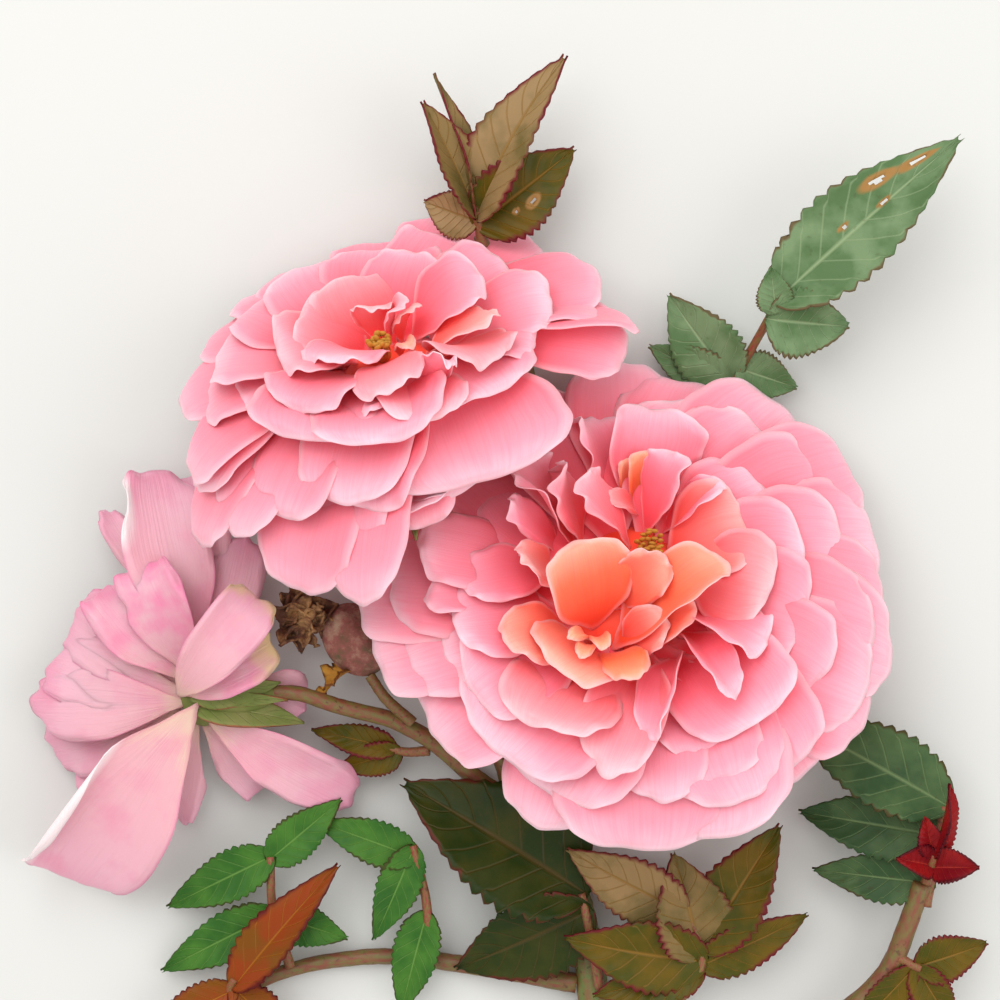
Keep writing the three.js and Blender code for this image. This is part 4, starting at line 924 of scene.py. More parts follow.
# The stalks that fork from the cane, each with its radii at root and tip, sunk by STALK_SUNK at its root.
STALK_SUNK = 2.5
STALKS = {
    "stalk_upper_bloom": dict(
        radii=(1.9, 1.35),
        line=[(2, -48, 5.2), (-4, -30, 5), (-9, -14, 6), (-12.6, -1, 10.6), (-13.1, 3.6, 14.8)],
    ),
    "stalk_lower_bloom": dict(
        radii=(1.9, 1.45),
        line=[(5.2, -49.4, 4), (11, -40, 2.4), (16.5, -31, 1.8), (19.8, -23.6, 2.3)],
    ),
    "stalk_spent_bloom": dict(
        radii=(1.6, 1.2),
        line=[
            (0, -50, 5.2), (-4.8, -46.4, 6), (-11.2, -40.8, 7.6), (-17.6, -37.1, 9.4),
            (-27.2, -34.4, 11), (-33.6, -32.3, 12), (-40.6, -32, 12.6),
        ],
    ),
    "stalk_withered_head": dict(
        radii=(1.0, 0.9),
        line=[(-16.4, -35.6, 10.6), (-19.2, -33, 10.8), (-21.8, -29.4, 10.2)],
    ),
    "stalk_side_shoot": dict(
        radii=(2.3, 1.6),
        line=[
            (20, -95, 3.4), (34, -98.5, 3.4), (50, -93, 4.6), (64.8, -80, 8),
            (68, -72, 9.6), (70.4, -64, 11.4),
        ],
    ),
    "stalk_top_shoot": dict(
        radii=(1.5, 1.1),
        line=[
            (8.4, -54, 1.9), (10, -42, 1.5), (8.6, -20, 1.5), (7, 10, 1.5),
            (1.4, 34, 3.2), (-3.4, 44.4, 8.4),
        ],
    ),
    "stalk_left_shoot": dict(
        radii=(1.7, 1.1),
        line=[(10.6, -82, 2.4), (-2, -80, 1.8), (-20, -78, 1.8), (-36, -80, 3.4), (-44, -83.4, 5.4)],
    ),
}


def cane_radius(t):
    """The cane's radius from its cut end to its fork."""
    return mix(CANE_RADIUS, FORK_RADIUS, t**1.5)


def prickle_radius(t):
    """A prickle's radius from its root to its point."""
    return mix(*PRICKLE_RADII, t**0.6)


def make_cane(paints):
    """The cane, and its prickles as a piece of their own."""
    cane = new_mesh()
    add_limb(cane, CANE_LINE, cane_radius, sides=20, steps=70, relief=BARK_RELIEF)
    face_outwards(cane)
    finish_piece(cane, "cane_bark", paints["cane"], ["main_cane"])
    prickles = new_mesh()
    places = even_line(CANE_LINE, 100)
    for i, hundredths in enumerate(PRICKLES):
        place, way = places[hundredths]
        out = Vector((-1 if i % 2 else 1, 0.1, 0.75 + 0.2 * wobble(i, 5))).normalized()
        root = place + out * cane_radius(hundredths / 100) * PRICKLE_ROOT
        bent = [root, root + out * PRICKLE_LONG * 0.5, root + out * PRICKLE_LONG - way * PRICKLE_HOOK]
        add_limb(prickles, bent, prickle_radius, sides=8, steps=8)
    face_outwards(prickles)
    finish_piece(prickles, "prickles", paints["prickle"], ["main_cane"])


def make_stalks(paints):
    """All the stalks as one piece."""
    mesh = new_mesh()
    for i, stalk in enumerate(STALKS.values()):
        thick, thin = stalk["radii"]
        add_limb(
            mesh, stalk["line"], lambda t: mix(thick, thin, t), sides=14, steps=60, relief=BARK_RELIEF,
            seed=i, sunk=STALK_SUNK,
        )
    face_outwards(mesh)
    finish_piece(mesh, "stalks", paints["stalk"], list(STALKS))


# The green cups under the full blooms. Bow is how far a cup's sepals bend back, and turn is where the
# first of them stands round it, in degrees.
CALYXES = {
    "upper_bloom": dict(bloom=UPPER_BLOOM, bow=0.25, turn=56),
    "lower_bloom": dict(bloom=LOWER_BLOOM, bow=-0.05, turn=20),
}
CUP_RADIUS = 4.2
CUP_LENGTH = 9
CALYX_DROP = 5.4
SEPALS = 5
SEPAL = SEPAL_SHAPE | dict(length=19, wide=5, fold=0.15)
SEPAL_DROP = 1.6
SEPAL_CELLS = (6, 20)


def make_calyxes(paints):
    """Each cup with its five sepals."""
    for name, calyx in CALYXES.items():
        mesh = new_mesh()
        bloom = calyx["bloom"]
        place = upright(bloom["at"], bloom["axis"]) @ Matrix.Translation((0, 0, -CALYX_DROP))
        cup = place @ Matrix.Translation((0, 0, -CUP_LENGTH / 2))
        add_ball(mesh, (CUP_RADIUS, CUP_RADIUS, CUP_LENGTH / 2), cup)
        for i in range(SEPALS):
            turn = Matrix.Rotation(math.radians(360 / SEPALS * i + calyx["turn"]), 4, "Z")
            foot = place @ turn @ Matrix.Translation((CUP_RADIUS * 0.5, 0, -SEPAL_DROP))
            add_leaflet(mesh, SEPAL | dict(seed=i, frame=foot, bow=calyx["bow"]), SEPAL_CELLS)
        finish_piece(mesh, name + "_sepals", paints["calyx"], ["calyx_" + name], LEAF_THICK)


# The stamens that show in the eyes of the two full blooms.
EYES = {
    "upper_bloom": dict(at=(-18.6, 23, 31.5), axis=(-0.16, 0.72, 0.67), across=2.8),
    "lower_bloom": dict(at=(24, -8, 21.5), axis=(0.1, 0.4, 0.9), across=3.6),
}
EYE_DEEP = 1.4
STAMENS = 20
STAMEN_TALL = 2.8
STAMEN_RADIUS = 0.12
# How much further out a stamen's anther is than its foot.
STAMEN_LEAN = 1.5
ANTHER = (0.5, 0.32, 0.7)


def make_stamens(paint):
    """Each eye: a low mound, with stamens that spread in a spiral and lean outwards."""
    for name, eye in EYES.items():
        mesh = new_mesh()
        along = mesh.verts.layers.float["along"]
        place = upright(eye["at"], eye["axis"])
        radius = eye["across"] / 2
        for v in add_ball(mesh, (radius, radius, EYE_DEEP), place, 16, 8):
            v[along] = 0
        for i in range(STAMENS):
            around = math.radians(i * GOLDEN_TURN)
            out = radius * math.sqrt((i + 0.5) / STAMENS) * 0.9
            lean = STAMEN_LEAN + 0.3 * wobble(i, 3)
            foot = Vector((out * math.cos(around), out * math.sin(around), 0))
            tip = Vector((foot.x * lean, foot.y * lean, STAMEN_TALL * (1 + 0.2 * wobble(i, 4))))
            middle = (foot + tip) / 2 + Vector((0.4 * wobble(i, 6), 0.4 * wobble(i, 7), 0))
            thread = [place @ p for p in (foot, middle, tip)]
            add_limb(mesh, thread, lambda t: STAMEN_RADIUS, sides=5, steps=4)
            anther = place @ Matrix.Translation(tip) @ Matrix.Rotation(3 * wobble(i, 8), 4, "Y")
            for v in add_ball(mesh, ANTHER, anther, 8, 6):
                v[along] = 1
        face_outwards(mesh)
        finish_piece(mesh, "eye_" + name, paint, ["stamens_" + name])


# The spent bloom, seen from behind: loose petals that fall away from its cup, with its sepals over them.
SPENT_PETALS = [
    dict(at=(-49, -29, 9), tip=(-52, 5.5, 5), width=11.5, bow=20, cup=50),
    dict(at=(-47.5, -27.5, 9), tip=(-43, -6, 8), width=10, bow=20, cup=60),
    dict(at=(-55.5, -18.5, 8), tip=(-67, -1, 7), width=5, bow=14, cup=60),
    dict(
        at=(-50.5, -29.5, 11), tip=(-58.5, 6, 9), width=15.5, bow=16, cup=80, cup_tip=70, roll=16,
        hem=-1.3, hem_start=0.55,
    ),
    dict(at=(-53.5, -35, 8), tip=(-77.5, -42.5, 2.5), width=13, bow=22),
    dict(at=(-53.5, -36.5, 8), tip=(-72.5, -50, 2.5), width=10, bow=22),
    dict(at=(-51.5, -31, 10), tip=(-73, -18.5, 6), width=13.5, bow=26, ruffle=1.4),
    dict(at=(-51.5, -32.5, 11), tip=(-77, -27, 7), width=12, bow=24, ruffle=1.4),
    dict(at=(-51.5, -33.5, 12), tip=(-79, -34.5, 7), width=12.5, bow=24, point=0.12),
    dict(at=(-51.5, -30.5, 12), tip=(-67, -13.5, 10), width=12, bow=26, ruffle=1.8, warmth=0.7),
    dict(at=(-50, -30, 13), tip=(-60.5, -9.5, 14), width=11.5, bow=24, roll=-14, ruffle=1.8, warmth=1),
    dict(at=(-50.5, -36.5, 9), tip=(-55, -55.5, 3), width=6.5, bow=24),
    dict(at=(-42, -30, 10), tip=(-32.5, -34.5, 8), width=9.5, bow=20, point=0.14),
    dict(at=(-50, -36.5, 10), tip=(-40, -50, 4), width=8, bow=24),
    dict(at=(-50, -35.5, 12), tip=(-24.5, -51, 5), width=11.5, bow=24, cup=70, cup_tip=70, roll=14),
    dict(
        at=(-49.5, -33.5, 15.5), tip=(-74.5, -65, 3.5), width=22.5, bow=34, roll=-12, cup=50, cup_tip=60,
        ruffle=0.8, hem=2,
    ),
    dict(
        at=(-53, -32.5, 14.5), tip=(-38.5, -14.5, 18), width=11, bow=60, cup=100, cup_tip=90, ruffle=1,
        scorch=1,
    ),
    dict(
        at=(-53.5, -32, 13), tip=(-37.5, -22.5, 15), width=12.5, bow=50, cup=110, cup_tip=110, ruffle=1,
        scorch=1, warmth=0.6,
    ),
]
SPENT_SEED = 900
SPENT_BODY = (4.2, 6.4, 3.2)
SPENT_BODY_AT = (-49.4, -31.4, 11.2)
SPENT_CUP = (3, 2.6, 6.4)
SPENT_CUP_AT = (-43.6, -32.6, 13)
SPENT_CUP_AXIS = (-1, -0.06, 0.1)
SPENT_SEPALS = [
    dict(root=(-51, -31.6, 15.5), tip=(-37, -31.4, 17.5), wide=6.2, roll=16, bow=0.5),
    dict(root=(-50.6, -34, 14.8), tip=(-32.4, -36, 13.6), wide=6.6, roll=-24, bow=0.3),
    dict(root=(-50.6, -32.8, 15.4), tip=(-35, -33, 14.8), wide=3, bow=-0.1),
]
SPENT_SEPAL_SEED = 60
SPENT_SEPAL_CELLS = (8, 24)


def make_spent_bloom(paints):
    """The loose petals, the small body that holds them, and the cup with its sepals."""
    petals = new_mesh()
    for petal in placed_petals(SPENT_PETALS, SPENT_SEED, ruffle=1.2, curl=1.2):
        add_petal(petals, petal, Matrix(), SPENT_PETAL_CELLS)
    finish_piece(petals, "spent_petals", paints["spent_petal"], ["spent_bloom"], PETAL_THICK)
    body = new_mesh()
    add_ball(body, SPENT_BODY, Matrix.Translation(SPENT_BODY_AT))
    finish_piece(body, "spent_body", paints["calyx"], ["spent_bloom"])
    sepals = new_mesh()
    add_ball(sepals, SPENT_CUP, upright(SPENT_CUP_AT, SPENT_CUP_AXIS))
    for i, row in enumerate(SPENT_SEPALS):
        add_leaflet(sepals, leaflet_of(row, SPENT_SEPAL_SEED + i, SEPAL_SHAPE), SPENT_SEPAL_CELLS)
    finish_piece(sepals, "spent_sepals", paints["calyx"], ["calyx_spent_bloom"], LEAF_THICK)


# The withered head: a crumpled brown tuft on a swollen hip, with one dry golden sepal.
HEAD_HIP = (5.2, 5.2, 6.6)
HEAD_AT = (-24.2, -23.4, 9.5)
HEAD_AXIS = (-0.6, 0.75, 0.1)
HEAD_RIBS = 0.08
DRY_SEPAL = dict(
    root=(-25, -28, 10.5), tip=(-30.2, -32.2, 11.9), wide=5.4, roll=40, fold=0.5, bow=0.3, twist=70,
    teeth=4, bite=0.9, wave=1.1,
)
DRY_SEPAL_SEED = 70
DRY_SEPAL_CELLS = (12, 40)
TUFT = (3.2, 3.2, 2.8)
TUFT_AT = (-33, -19.6, 11.1)
TUFT_AXIS = (-0.8, 0.4, 0.4)
TUFT_SCRAPS = 22
SCRAP_CELLS = (8, 16)


def make_withered_head(paints):
    """The hip, the dry sepal and the tuft, which is a ball of scraps that curl every way."""
    hip = new_mesh()
    add_ball(hip, HEAD_HIP, upright(HEAD_AT, HEAD_AXIS), 50, 30, HEAD_RIBS)
    finish_piece(hip, "swollen_hip", paints["hip"], ["withered_hip"])
    sepal = new_mesh()
    add_leaflet(sepal, leaflet_of(DRY_SEPAL, DRY_SEPAL_SEED, SEPAL_SHAPE), DRY_SEPAL_CELLS)
    finish_piece(sepal, "dry_sepal", paints["dry_sepal"], ["withered_hip"], LEAF_THICK)
    tuft = new_mesh()
    add_ball(tuft, TUFT, upright(TUFT_AT, TUFT_AXIS), 16, 10)
    for i in range(TUFT_SCRAPS):
        around = math.radians(i * GOLDEN_TURN)
        out = Vector((math.cos(around), math.sin(around), 0.5 + 0.6 * wobble(i, 31)))
        face = Vector((0.5 * wobble(i, 32), 0.5 * wobble(i, 33), 1))
        scrap = SEPAL_SHAPE | dict(
            seed=i,
            frame=frame_from(TUFT_AT, out, face),
            length=5.4 + 1.6 * wobble(i, 34),
            wide=4.2 + wobble(i, 35),
            fold=0.5,
            bow=-0.6 * wobble(i, 36),
            twist=80 * wobble(i, 37),
            wave=0.9,
        )
        add_leaflet(tuft, scrap, SCRAP_CELLS)
    finish_piece(tuft, "dry_tuft", paints["withered"], ["withered_tuft"], LEAF_THICK)


# Finishes. Colours are given as they look on a screen, 0 to 255. Those that run from a petal's foot to its
# rim stand at their shares of the way.
# The deep foot of PINKS and APRICOTS is partly the petals' own deeper base colour and partly painted shade of
# the recesses where each petal runs in under the next.
PINKS = ((0.05, (247, 78, 92)), (0.4, (250, 114, 132)), (0.74, (249, 148, 167)), (1, (247, 186, 201)))
APRICOTS = ((0.1, (248, 84, 28)), (0.5, (251, 112, 60)), (1, (252, 162, 128)))
PETAL_VEIN = (236, 92, 112)
PALE_RIM = (251, 212, 220)
FADED_PINKS = ((0, (214, 184, 158)), (0.16, (216, 158, 166)), (0.65, (220, 160, 176)), (1, (216, 140, 166)))
SPENT_FLUSH = (216, 126, 154)
CRUMPLED_PINK = (226, 104, 152)
SPENT_RIM = (206, 96, 142)
SCORCHED = (216, 188, 140)
ROLLED_MARGIN = (240, 220, 222)
STAMEN_GOLDS = ((0, (236, 120, 60)), (0.5, (232, 170, 60)), (0.9, (200, 140, 40)))
POLLEN = (120, 84, 22)
# A leaf's blade has patches, veins and a rim. Its rim_share is how far the rim's colour reaches in.
LEAF_LOOKS = dict(
    mature_leaf=dict(
        blade=(48, 74, 42), patch=(72, 96, 58), vein=(108, 130, 86), rim=(70, 62, 34), rim_share=0.06,
        rough=0.34, dirt=0.3,
    ),
    greyed_leaf=dict(
        blade=(78, 106, 66), patch=(108, 132, 94), vein=(138, 158, 118), rim=(96, 84, 56), rim_share=0.06,
        rough=0.36, dirt=0.2,
    ),
    fresh_leaf=dict(
        blade=(44, 90, 30), patch=(64, 110, 38), vein=(100, 140, 66), rim=(60, 66, 26), rim_share=0.05,
        rough=0.34,
    ),
    dark_leaf=dict(
        blade=(32, 46, 10), patch=(50, 54, 12), vein=(74, 58, 26), rim=(84, 34, 24), rim_share=0.08,
        rough=0.28, dirt=0.2,
    ),
    young_leaf=dict(
        blade=(66, 66, 10), patch=(96, 76, 12), vein=(132, 96, 38), rim=(100, 26, 32), rim_share=0.16,
        rough=0.28, flush=(150, 122, 84),
    ),
    bronze_leaf=dict(
        blade=(112, 66, 10), patch=(132, 54, 12), vein=(156, 96, 28), rim=(84, 18, 14), rim_share=0.2,
        rough=0.28,
    ),
    red_leaf=dict(
        blade=(140, 20, 22), patch=(112, 14, 24), vein=(180, 56, 44), rim=(76, 8, 18), rim_share=0.2,
        rough=0.26,
    ),
    calyx=dict(
        blade=(104, 116, 58), patch=(128, 128, 78), vein=(150, 150, 96), rim=(140, 84, 60), rim_share=0.08,
        rough=0.4,
    ),
    dry_sepal=dict(
        blade=(196, 146, 58), patch=(160, 104, 40), vein=(214, 176, 96), rim=(104, 60, 24), rim_share=0.12,
        rough=0.45,
    ),
)
BARK_LOOKS = dict(
    leaf_stalk=dict(light=(134, 52, 44), dark=(112, 96, 42), spot=(84, 34, 30)),
    stalk=dict(light=(104, 96, 44), dark=(122, 64, 44), spot=(80, 42, 28)),
    cane=dict(light=(92, 108, 46), dark=(116, 84, 46), spot=(70, 52, 30), rough=0.4, streaks=40),
    prickle=dict(light=(150, 74, 50), dark=(120, 54, 40), spot=(176, 120, 84), rough=0.35, streaks=4),
)
WITHERED_LOOKS = dict(
    hip=dict(pale=(164, 134, 112), deep=(134, 76, 68), black=(82, 74, 46)),
    withered=dict(pale=(170, 130, 82), deep=(94, 54, 32), black=(34, 20, 15)),
)
DRY_PATCH = (150, 112, 62)
DIRT = (70, 50, 26)


class Paint:
    """A material with short ways to add nodes. The words it is made with set the shader's own sockets."""

    def __init__(self, name, **sockets):
        self.material = bpy.data.materials.new(name)
        self.material.use_nodes = True
        self.tree = self.material.node_tree
        self.shader = self.tree.nodes["Principled BSDF"]
        for socket, value in sockets.items():
            self.shader.inputs[socket.replace("_", " ")].default_value = value

    def add(self, kind, **settings):
        """One more node of a kind, with its settings."""
        node = self.tree.nodes.new("ShaderNode" + kind)
        for key, value in settings.items():
            setattr(node, key, value)
        return node

    def feed(self, socket, value):
        """Gives a socket a value, or links it where the value is another node's socket."""
        if isinstance(value, bpy.types.NodeSocket):
            self.tree.links.new(value, socket)
        else:
            socket.default_value = value

    def layer(self, name):
        """One of the numbers that a mesh's corners carry."""
        return self.add("Attribute", attribute_name=name).outputs["Fac"]

    def blade(self):
        """Across and along a blade, each from 0 to 1."""
        split = self.add("SeparateXYZ")
        self.feed(split.inputs[0], self.add("UVMap", uv_map="blade_uv").outputs[0])
        return split.outputs[0], split.outputs[1]

    def calc(self, operation, *values):
        """One step of arithmetic on numbers or sockets."""
        node = self.add("Math", operation=operation)
        for socket, value in zip(node.inputs, values):
            self.feed(socket, value)
        return node.outputs[0]

    def spread(self, x, y, z=0.0):
        """Three numbers joined into the place of a noise."""
        node = self.add("CombineXYZ")
        for socket, value in zip(node.inputs, (x, y, z)):
            self.feed(socket, value)
        return node.outputs[0]

    def noise(self, scale, detail, vector=None, roughness=0.5):
        """A noise from 0 to 1, on the piece's own coordinates or on another vector."""
        node = self.add("TexNoise")
        self.feed(node.inputs["Vector"], vector or self.add("TexCoord").outputs["Object"])
        node.inputs["Scale"].default_value = scale
        node.inputs["Detail"].default_value = detail
        node.inputs["Roughness"].default_value = roughness
        return node.outputs["Fac"]

    def swing(self, noise, reach):
        """A noise made to swing about 0."""
        return self.calc("MULTIPLY", self.calc("SUBTRACT", noise, 0.5), reach)

    def ramp(self, amount, *stops):
        """Screen colours, or plain numbers, at their places from 0 to 1."""
        node = self.add("ValToRGB")
        elements = node.color_ramp.elements
        elements[0].position, elements[-1].position = stops[0][0], stops[-1][0]
        for place, _ in stops[1:-1]:
            elements.new(place)
        for element, (_, value) in zip(elements, stops):
            element.color = screen_colour(value) if isinstance(value, tuple) else (value, value, value, 1)
        self.feed(node.inputs[0], amount)
        return node.outputs[0]

    def mask(self, value, start, full, share=1):
        """How much shows: nothing where the value is at start, the whole share where it is at full."""
        shown = self.ramp(value, *sorted(((start, 0), (full, 1))))
        return shown if share == 1 else self.calc("MULTIPLY", shown, share)

    def blend(self, amount, below, above):
        """One colour over another, each a socket or a screen colour."""
        node = self.add("Mix", data_type="RGBA")
        self.feed(node.inputs[0], amount)
        self.feed(node.inputs[6], screen_colour(below))
        self.feed(node.inputs[7], screen_colour(above))
        return node.outputs[2]

    def bump(self, height, distance, strength, under=None):
        """A bumpy skin, on top of another one where it has one under it."""
        node = self.add("Bump")
        node.inputs["Strength"].default_value = strength
        node.inputs["Distance"].default_value = distance * MM
        self.feed(node.inputs["Height"], height)
        if under:
            self.feed(node.inputs["Normal"], under)
        return node.outputs[0]

    def done(self, colour, roughness=None, normal=None):
        """Feeds the shader, and gives the material back."""
        self.feed(self.shader.inputs["Base Color"], colour)
        if roughness:
            self.feed(self.shader.inputs["Roughness"], roughness)
        if normal:
            self.feed(self.shader.inputs["Normal"], normal)
        return self.material


def petal_streaks(paint, across, along):
    """Fine veins that fan out from a petal's foot to its rim, in another pattern on each petal."""
    u, v = paint.blade()
    own = paint.calc("MULTIPLY", paint.layer("tint"), 9)
    places = paint.spread(paint.calc("MULTIPLY", u, across), paint.calc("MULTIPLY", v, along), own)
    return paint.noise(1, 3, places, roughness=0.6)


def petal_paint():
    """Pink from a deep foot to a pale rim, or apricot where the petal is warm, with fine veins; the deep foot
    is partly painted shade of the recesses.
    """
    paint = Paint(
        "rose_petal",
        Subsurface_Weight=0.3,
        Subsurface_Radius=(1, 0.6, 0.6),
        Subsurface_Scale=0.0008,
        Sheen_Weight=0.15,
        Sheen_Roughness=0.4,
        Specular_IOR_Level=0.35,
    )
    veins = petal_streaks(paint, 90, 2.2)
    cloud = paint.noise(90, 2)
    drift = paint.calc("ADD", paint.swing(petal_streaks(paint, 34, 1.3), 0.15), paint.swing(cloud, 0.24))
    drift = paint.calc("ADD", drift, paint.calc("MULTIPLY", paint.layer("tint"), 0.06))
    place = paint.calc("ADD", paint.layer("along"), drift)
    warmth = paint.calc("MINIMUM", paint.layer("warmth"), 1)
    # The deep foot of both ramps is partly the petal's own colour and partly painted shade of the recesses
    # between petals.
    colour = paint.blend(warmth, paint.ramp(place, *PINKS), paint.ramp(place, *APRICOTS))
    lines = paint.mask(veins, start=0.5, full=0.42, share=0.1)
    colour = paint.blend(lines, colour, PETAL_VEIN)
    pale_rim = paint.mask(paint.layer("rim"), start=0.84, full=1, share=0.42)
    colour = paint.blend(pale_rim, colour, PALE_RIM)
    normal = paint.bump(veins, 0.1, 0.5, paint.bump(cloud, 0.5, 0.4))
    return paint.done(colour, paint.calc("MULTIPLY_ADD", cloud, 0.2, 0.45), normal)


def spent_paint():
    """Faded pink with flushed and crumpled patches, a deep rim, scorched tips and pale rolled margins."""
    paint = Paint(
        "spent_petal",
        Subsurface_Weight=0.35,
        Subsurface_Radius=(1, 0.6, 0.6),
        Subsurface_Scale=0.001,
        Sheen_Weight=0.15,
    )
    streaks = petal_streaks(paint, 34, 1.2)
    patch = paint.noise(110, 3)
    colour = paint.ramp(paint.calc("ADD", paint.blade()[1], paint.swing(streaks, 0.3)), *FADED_PINKS)
    flush = paint.mask(patch, start=0.5, full=0.68, share=0.5)
    colour = paint.blend(flush, colour, SPENT_FLUSH)
    warm = paint.calc("MULTIPLY", paint.layer("warmth"), 0.6)
    crumple = paint.mask(paint.noise(240, 3), start=0.4, full=0.66, share=warm)
    colour = paint.blend(crumple, colour, CRUMPLED_PINK)
    rim = paint.mask(paint.layer("rim"), start=0.93, full=1, share=0.5)
    colour = paint.blend(rim, colour, SPENT_RIM)
    scorch = paint.calc("ADD", paint.layer("scar"), paint.swing(patch, 1.2))
    colour = paint.blend(paint.mask(scorch, start=0.7, full=0.95), colour, SCORCHED)
    rolled = paint.mask(paint.layer("fold"), start=0.06, full=0.3)
    colour = paint.blend(rolled, colour, ROLLED_MARGIN)
    return paint.done(colour, paint.calc("MULTIPLY_ADD", streaks, 0.2, 0.45), paint.bump(streaks, 0.2, 0.7))


def leaf_paint(name, blade, patch, vein, rim, rim_share, rough, dirt=0, flush=None):
    """A leaf: two blade colours in patches, paler pinnate veins, a tinted toothed rim and a quilted skin.

    A young leaf that is still flushed with another colour gives its own share of it.
    """
    paint = Paint(name, Specular_IOR_Level=0.14)
    u, v = paint.blade()
    side = paint.calc("ABSOLUTE", paint.calc("MULTIPLY_ADD", u, 2, -1))
    rise = paint.calc("MULTIPLY", side, -VEIN_RISE)
    vein_at = paint.calc("PINGPONG", paint.calc("MULTIPLY_ADD", v, VEINS, rise), 0.5)
    mottle = paint.noise(160, 4)
    side_vein = paint.mask(vein_at, start=0.07, full=0, share=0.75)
    midrib = paint.mask(side, start=0.07, full=0.015)
    lines = paint.calc("MAXIMUM", side_vein, midrib)
    colour = paint.blend(paint.mask(mottle, start=0.4, full=0.62), blade, patch)
    if flush:
        share = paint.calc("MULTIPLY", paint.layer("warmth"), paint.ramp(mottle, (0.3, 0.4), (0.55, 1)))
        colour = paint.blend(share, colour, flush)
    colour = paint.blend(paint.calc("MULTIPLY", lines, 0.7), colour, vein)
    edge = paint.calc("ADD", paint.layer("rim"), paint.swing(mottle, 0.5))
    colour = paint.blend(paint.mask(edge, start=1 - rim_share, full=1), colour, rim)
    colour = paint.blend(paint.mask(paint.layer("scar"), start=0.2, full=0.7), colour, DRY_PATCH)
    if dirt:
        specks = paint.mask(paint.noise(900, 2), start=0.66, full=0.7, share=dirt)
        colour = paint.blend(specks, colour, DIRT)
    fine = paint.bump(paint.noise(2600, 3, roughness=0.7), 0.03, 0.35)
    normal = paint.bump(paint.calc("MULTIPLY", lines, -1), 0.16, 0.8, fine)
    return paint.done(colour, paint.calc("MULTIPLY_ADD", mottle, 0.25, rough), normal)


def bark_paint(name, light, dark, spot, rough=0.42, streaks=26):
    """Smooth young bark: two colours in long streaks, with small corky spots."""
    paint = Paint(name)
    around = paint.calc("MULTIPLY", paint.layer("turn"), 2)
    along = paint.calc("MULTIPLY", paint.layer("along"), streaks)
    streak = paint.noise(1, 4, paint.spread(around, along))
    grain = paint.noise(1100, 3)
    colour = paint.blend(paint.mask(streak, start=0.38, full=0.62), light, dark)
    spots = paint.mask(grain, start=0.62, full=0.68, share=0.7)
    colour = paint.blend(spots, colour, spot)
    normal = paint.bump(grain, 0.08, 0.5, paint.bump(streak, 0.15, 0.6))
    return paint.done(colour, paint.calc("MULTIPLY_ADD", grain, 0.25, rough), normal)


def stamen_paint():
    """Orange threads with golden anthers, specked with brown pollen."""
    paint = Paint("stamen")
    speck = paint.noise(4000, 2)
    thread = paint.ramp(paint.layer("along"), *STAMEN_GOLDS)
    colour = paint.blend(paint.calc("MULTIPLY", speck, 0.6), thread, POLLEN)
    return paint.done(colour, 0.7, paint.bump(speck, 0.06, 0.6))


def withered_paint(name, pale, deep, black):
    """Dry, crumpled tissue: creased, blotched from tan to near black."""
    paint = Paint(name, Roughness=0.85)
    blotch = paint.noise(260, 5, roughness=0.65)
    crease = paint.noise(700, 4, roughness=0.7)
    colour = paint.ramp(blotch, (0.32, black), (0.5, deep), (0.68, pale))
    colour = paint.blend(paint.ramp(crease, (0.55, 0), (0.75, 0.7)), colour, pale)
    return paint.done(colour, None, paint.bump(crease, 0.35, 0.9))


def all_paints():
    """Every finish by its name."""
    paints = dict(rose_petal=petal_paint(), spent_petal=spent_paint(), stamen=stamen_paint())
    paints |= {name: leaf_paint(name, **look) for name, look in LEAF_LOOKS.items()}
    paints |= {name: bark_paint(name, **look) for name, look in BARK_LOOKS.items()}
    paints |= {name: withered_paint(name, **look) for name, look in WITHERED_LOOKS.items()}
    return paints


# The table, the light and the camera. Lamps are placed and measured in metres.
TABLE_HALF = 2
TABLE_COLOUR = (0.6, 0.61, 0.59, 1)
SKY_COLOUR = (1, 0.97, 0.95, 1)
SKY_STRENGTH = 0.93
SOFTBOXES = dict(
    key_light=dict(place=(-0.2, 0.35, 0.7), size=0.7, power=4.4),
    fill_light=dict(place=(0.5, -0.1, 0.5), size=0.5, power=1.2),
)
LIT_SPOT = Vector((0, 0, 0.02))
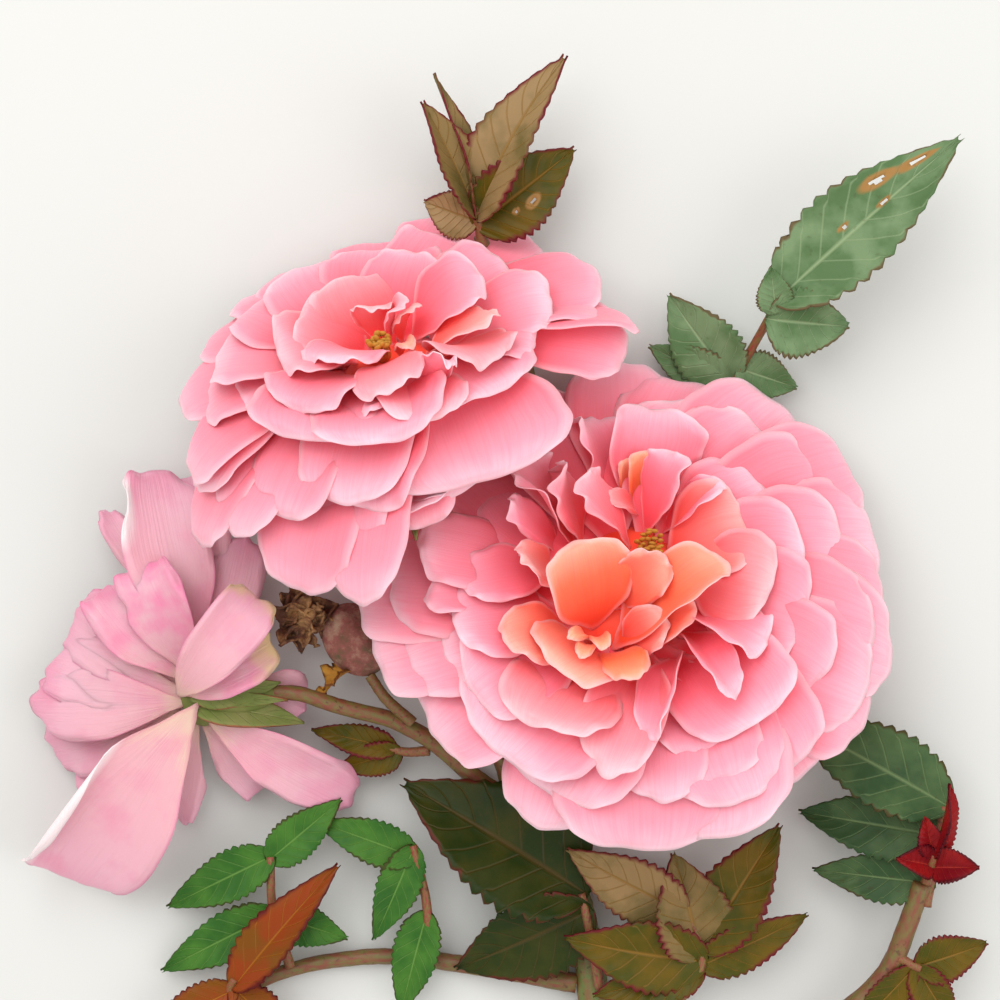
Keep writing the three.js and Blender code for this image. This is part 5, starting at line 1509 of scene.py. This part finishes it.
# The picture is VIEW_ACROSS wide at VIEW_LEVEL above the table.
VIEW_ACROSS = 160
VIEW_LEVEL = 27.5
LENS = 85
SENSOR = 36


def make_table():
    """The pale table top, which is staging and not a part of the spray."""
    mesh = bmesh.new()
    bmesh.ops.create_grid(mesh, x_segments=1, y_segments=1, size=TABLE_HALF)
    data = bpy.data.meshes.new("table")
    mesh.to_mesh(data)
    mesh.free()
    table = bpy.data.objects.new("table", data)
    bpy.context.scene.collection.objects.link(table)
    paint = Paint("table_top", Base_Color=TABLE_COLOUR, Roughness=0.9)
    data.materials.append(paint.material)


def add_softbox(name, place, size, power):
    """A square lamp that looks at the middle of the spray."""
    lamp = bpy.data.lights.new(name, "AREA")
    lamp.size = size
    lamp.energy = power
    box = bpy.data.objects.new(name, lamp)
    bpy.context.scene.collection.objects.link(box)
    box.location = place
    box.rotation_euler = (LIT_SPOT - Vector(place)).to_track_quat("-Z", "Y").to_euler()


def make_light():
    """An even pale sky and the two lamps."""
    world = bpy.data.worlds.new("studio")
    bpy.context.scene.world = world
    world.use_nodes = True
    sky = world.node_tree.nodes["Background"]
    sky.inputs["Color"].default_value = SKY_COLOUR
    sky.inputs["Strength"].default_value = SKY_STRENGTH
    for name, softbox in SOFTBOXES.items():
        add_softbox(name, **softbox)
    bpy.context.scene.view_settings.view_transform = "Standard"


def make_camera():
    """Straight above the spray, with the photograph's upper side at the top of the picture."""
    data = bpy.data.cameras.new("camera")
    data.lens = LENS
    data.sensor_width = SENSOR
    camera = bpy.data.objects.new("camera", data)
    bpy.context.scene.collection.objects.link(camera)
    camera.location = (SHIFT.x * MM, SHIFT.y * MM, (VIEW_ACROSS * LENS / SENSOR + VIEW_LEVEL) * MM)
    bpy.context.scene.camera = camera


paints = all_paints()
make_bloom("lower_bloom", LOWER_BLOOM, paints["rose_petal"])
make_bloom("upper_bloom", UPPER_BLOOM, paints["rose_petal"])
make_spent_bloom(paints)
make_withered_head(paints)
make_calyxes(paints)
make_stamens(paints["stamen"])
make_leaves(paints)
make_stalks(paints)
make_cane(paints)
make_table()
make_light()
make_camera()
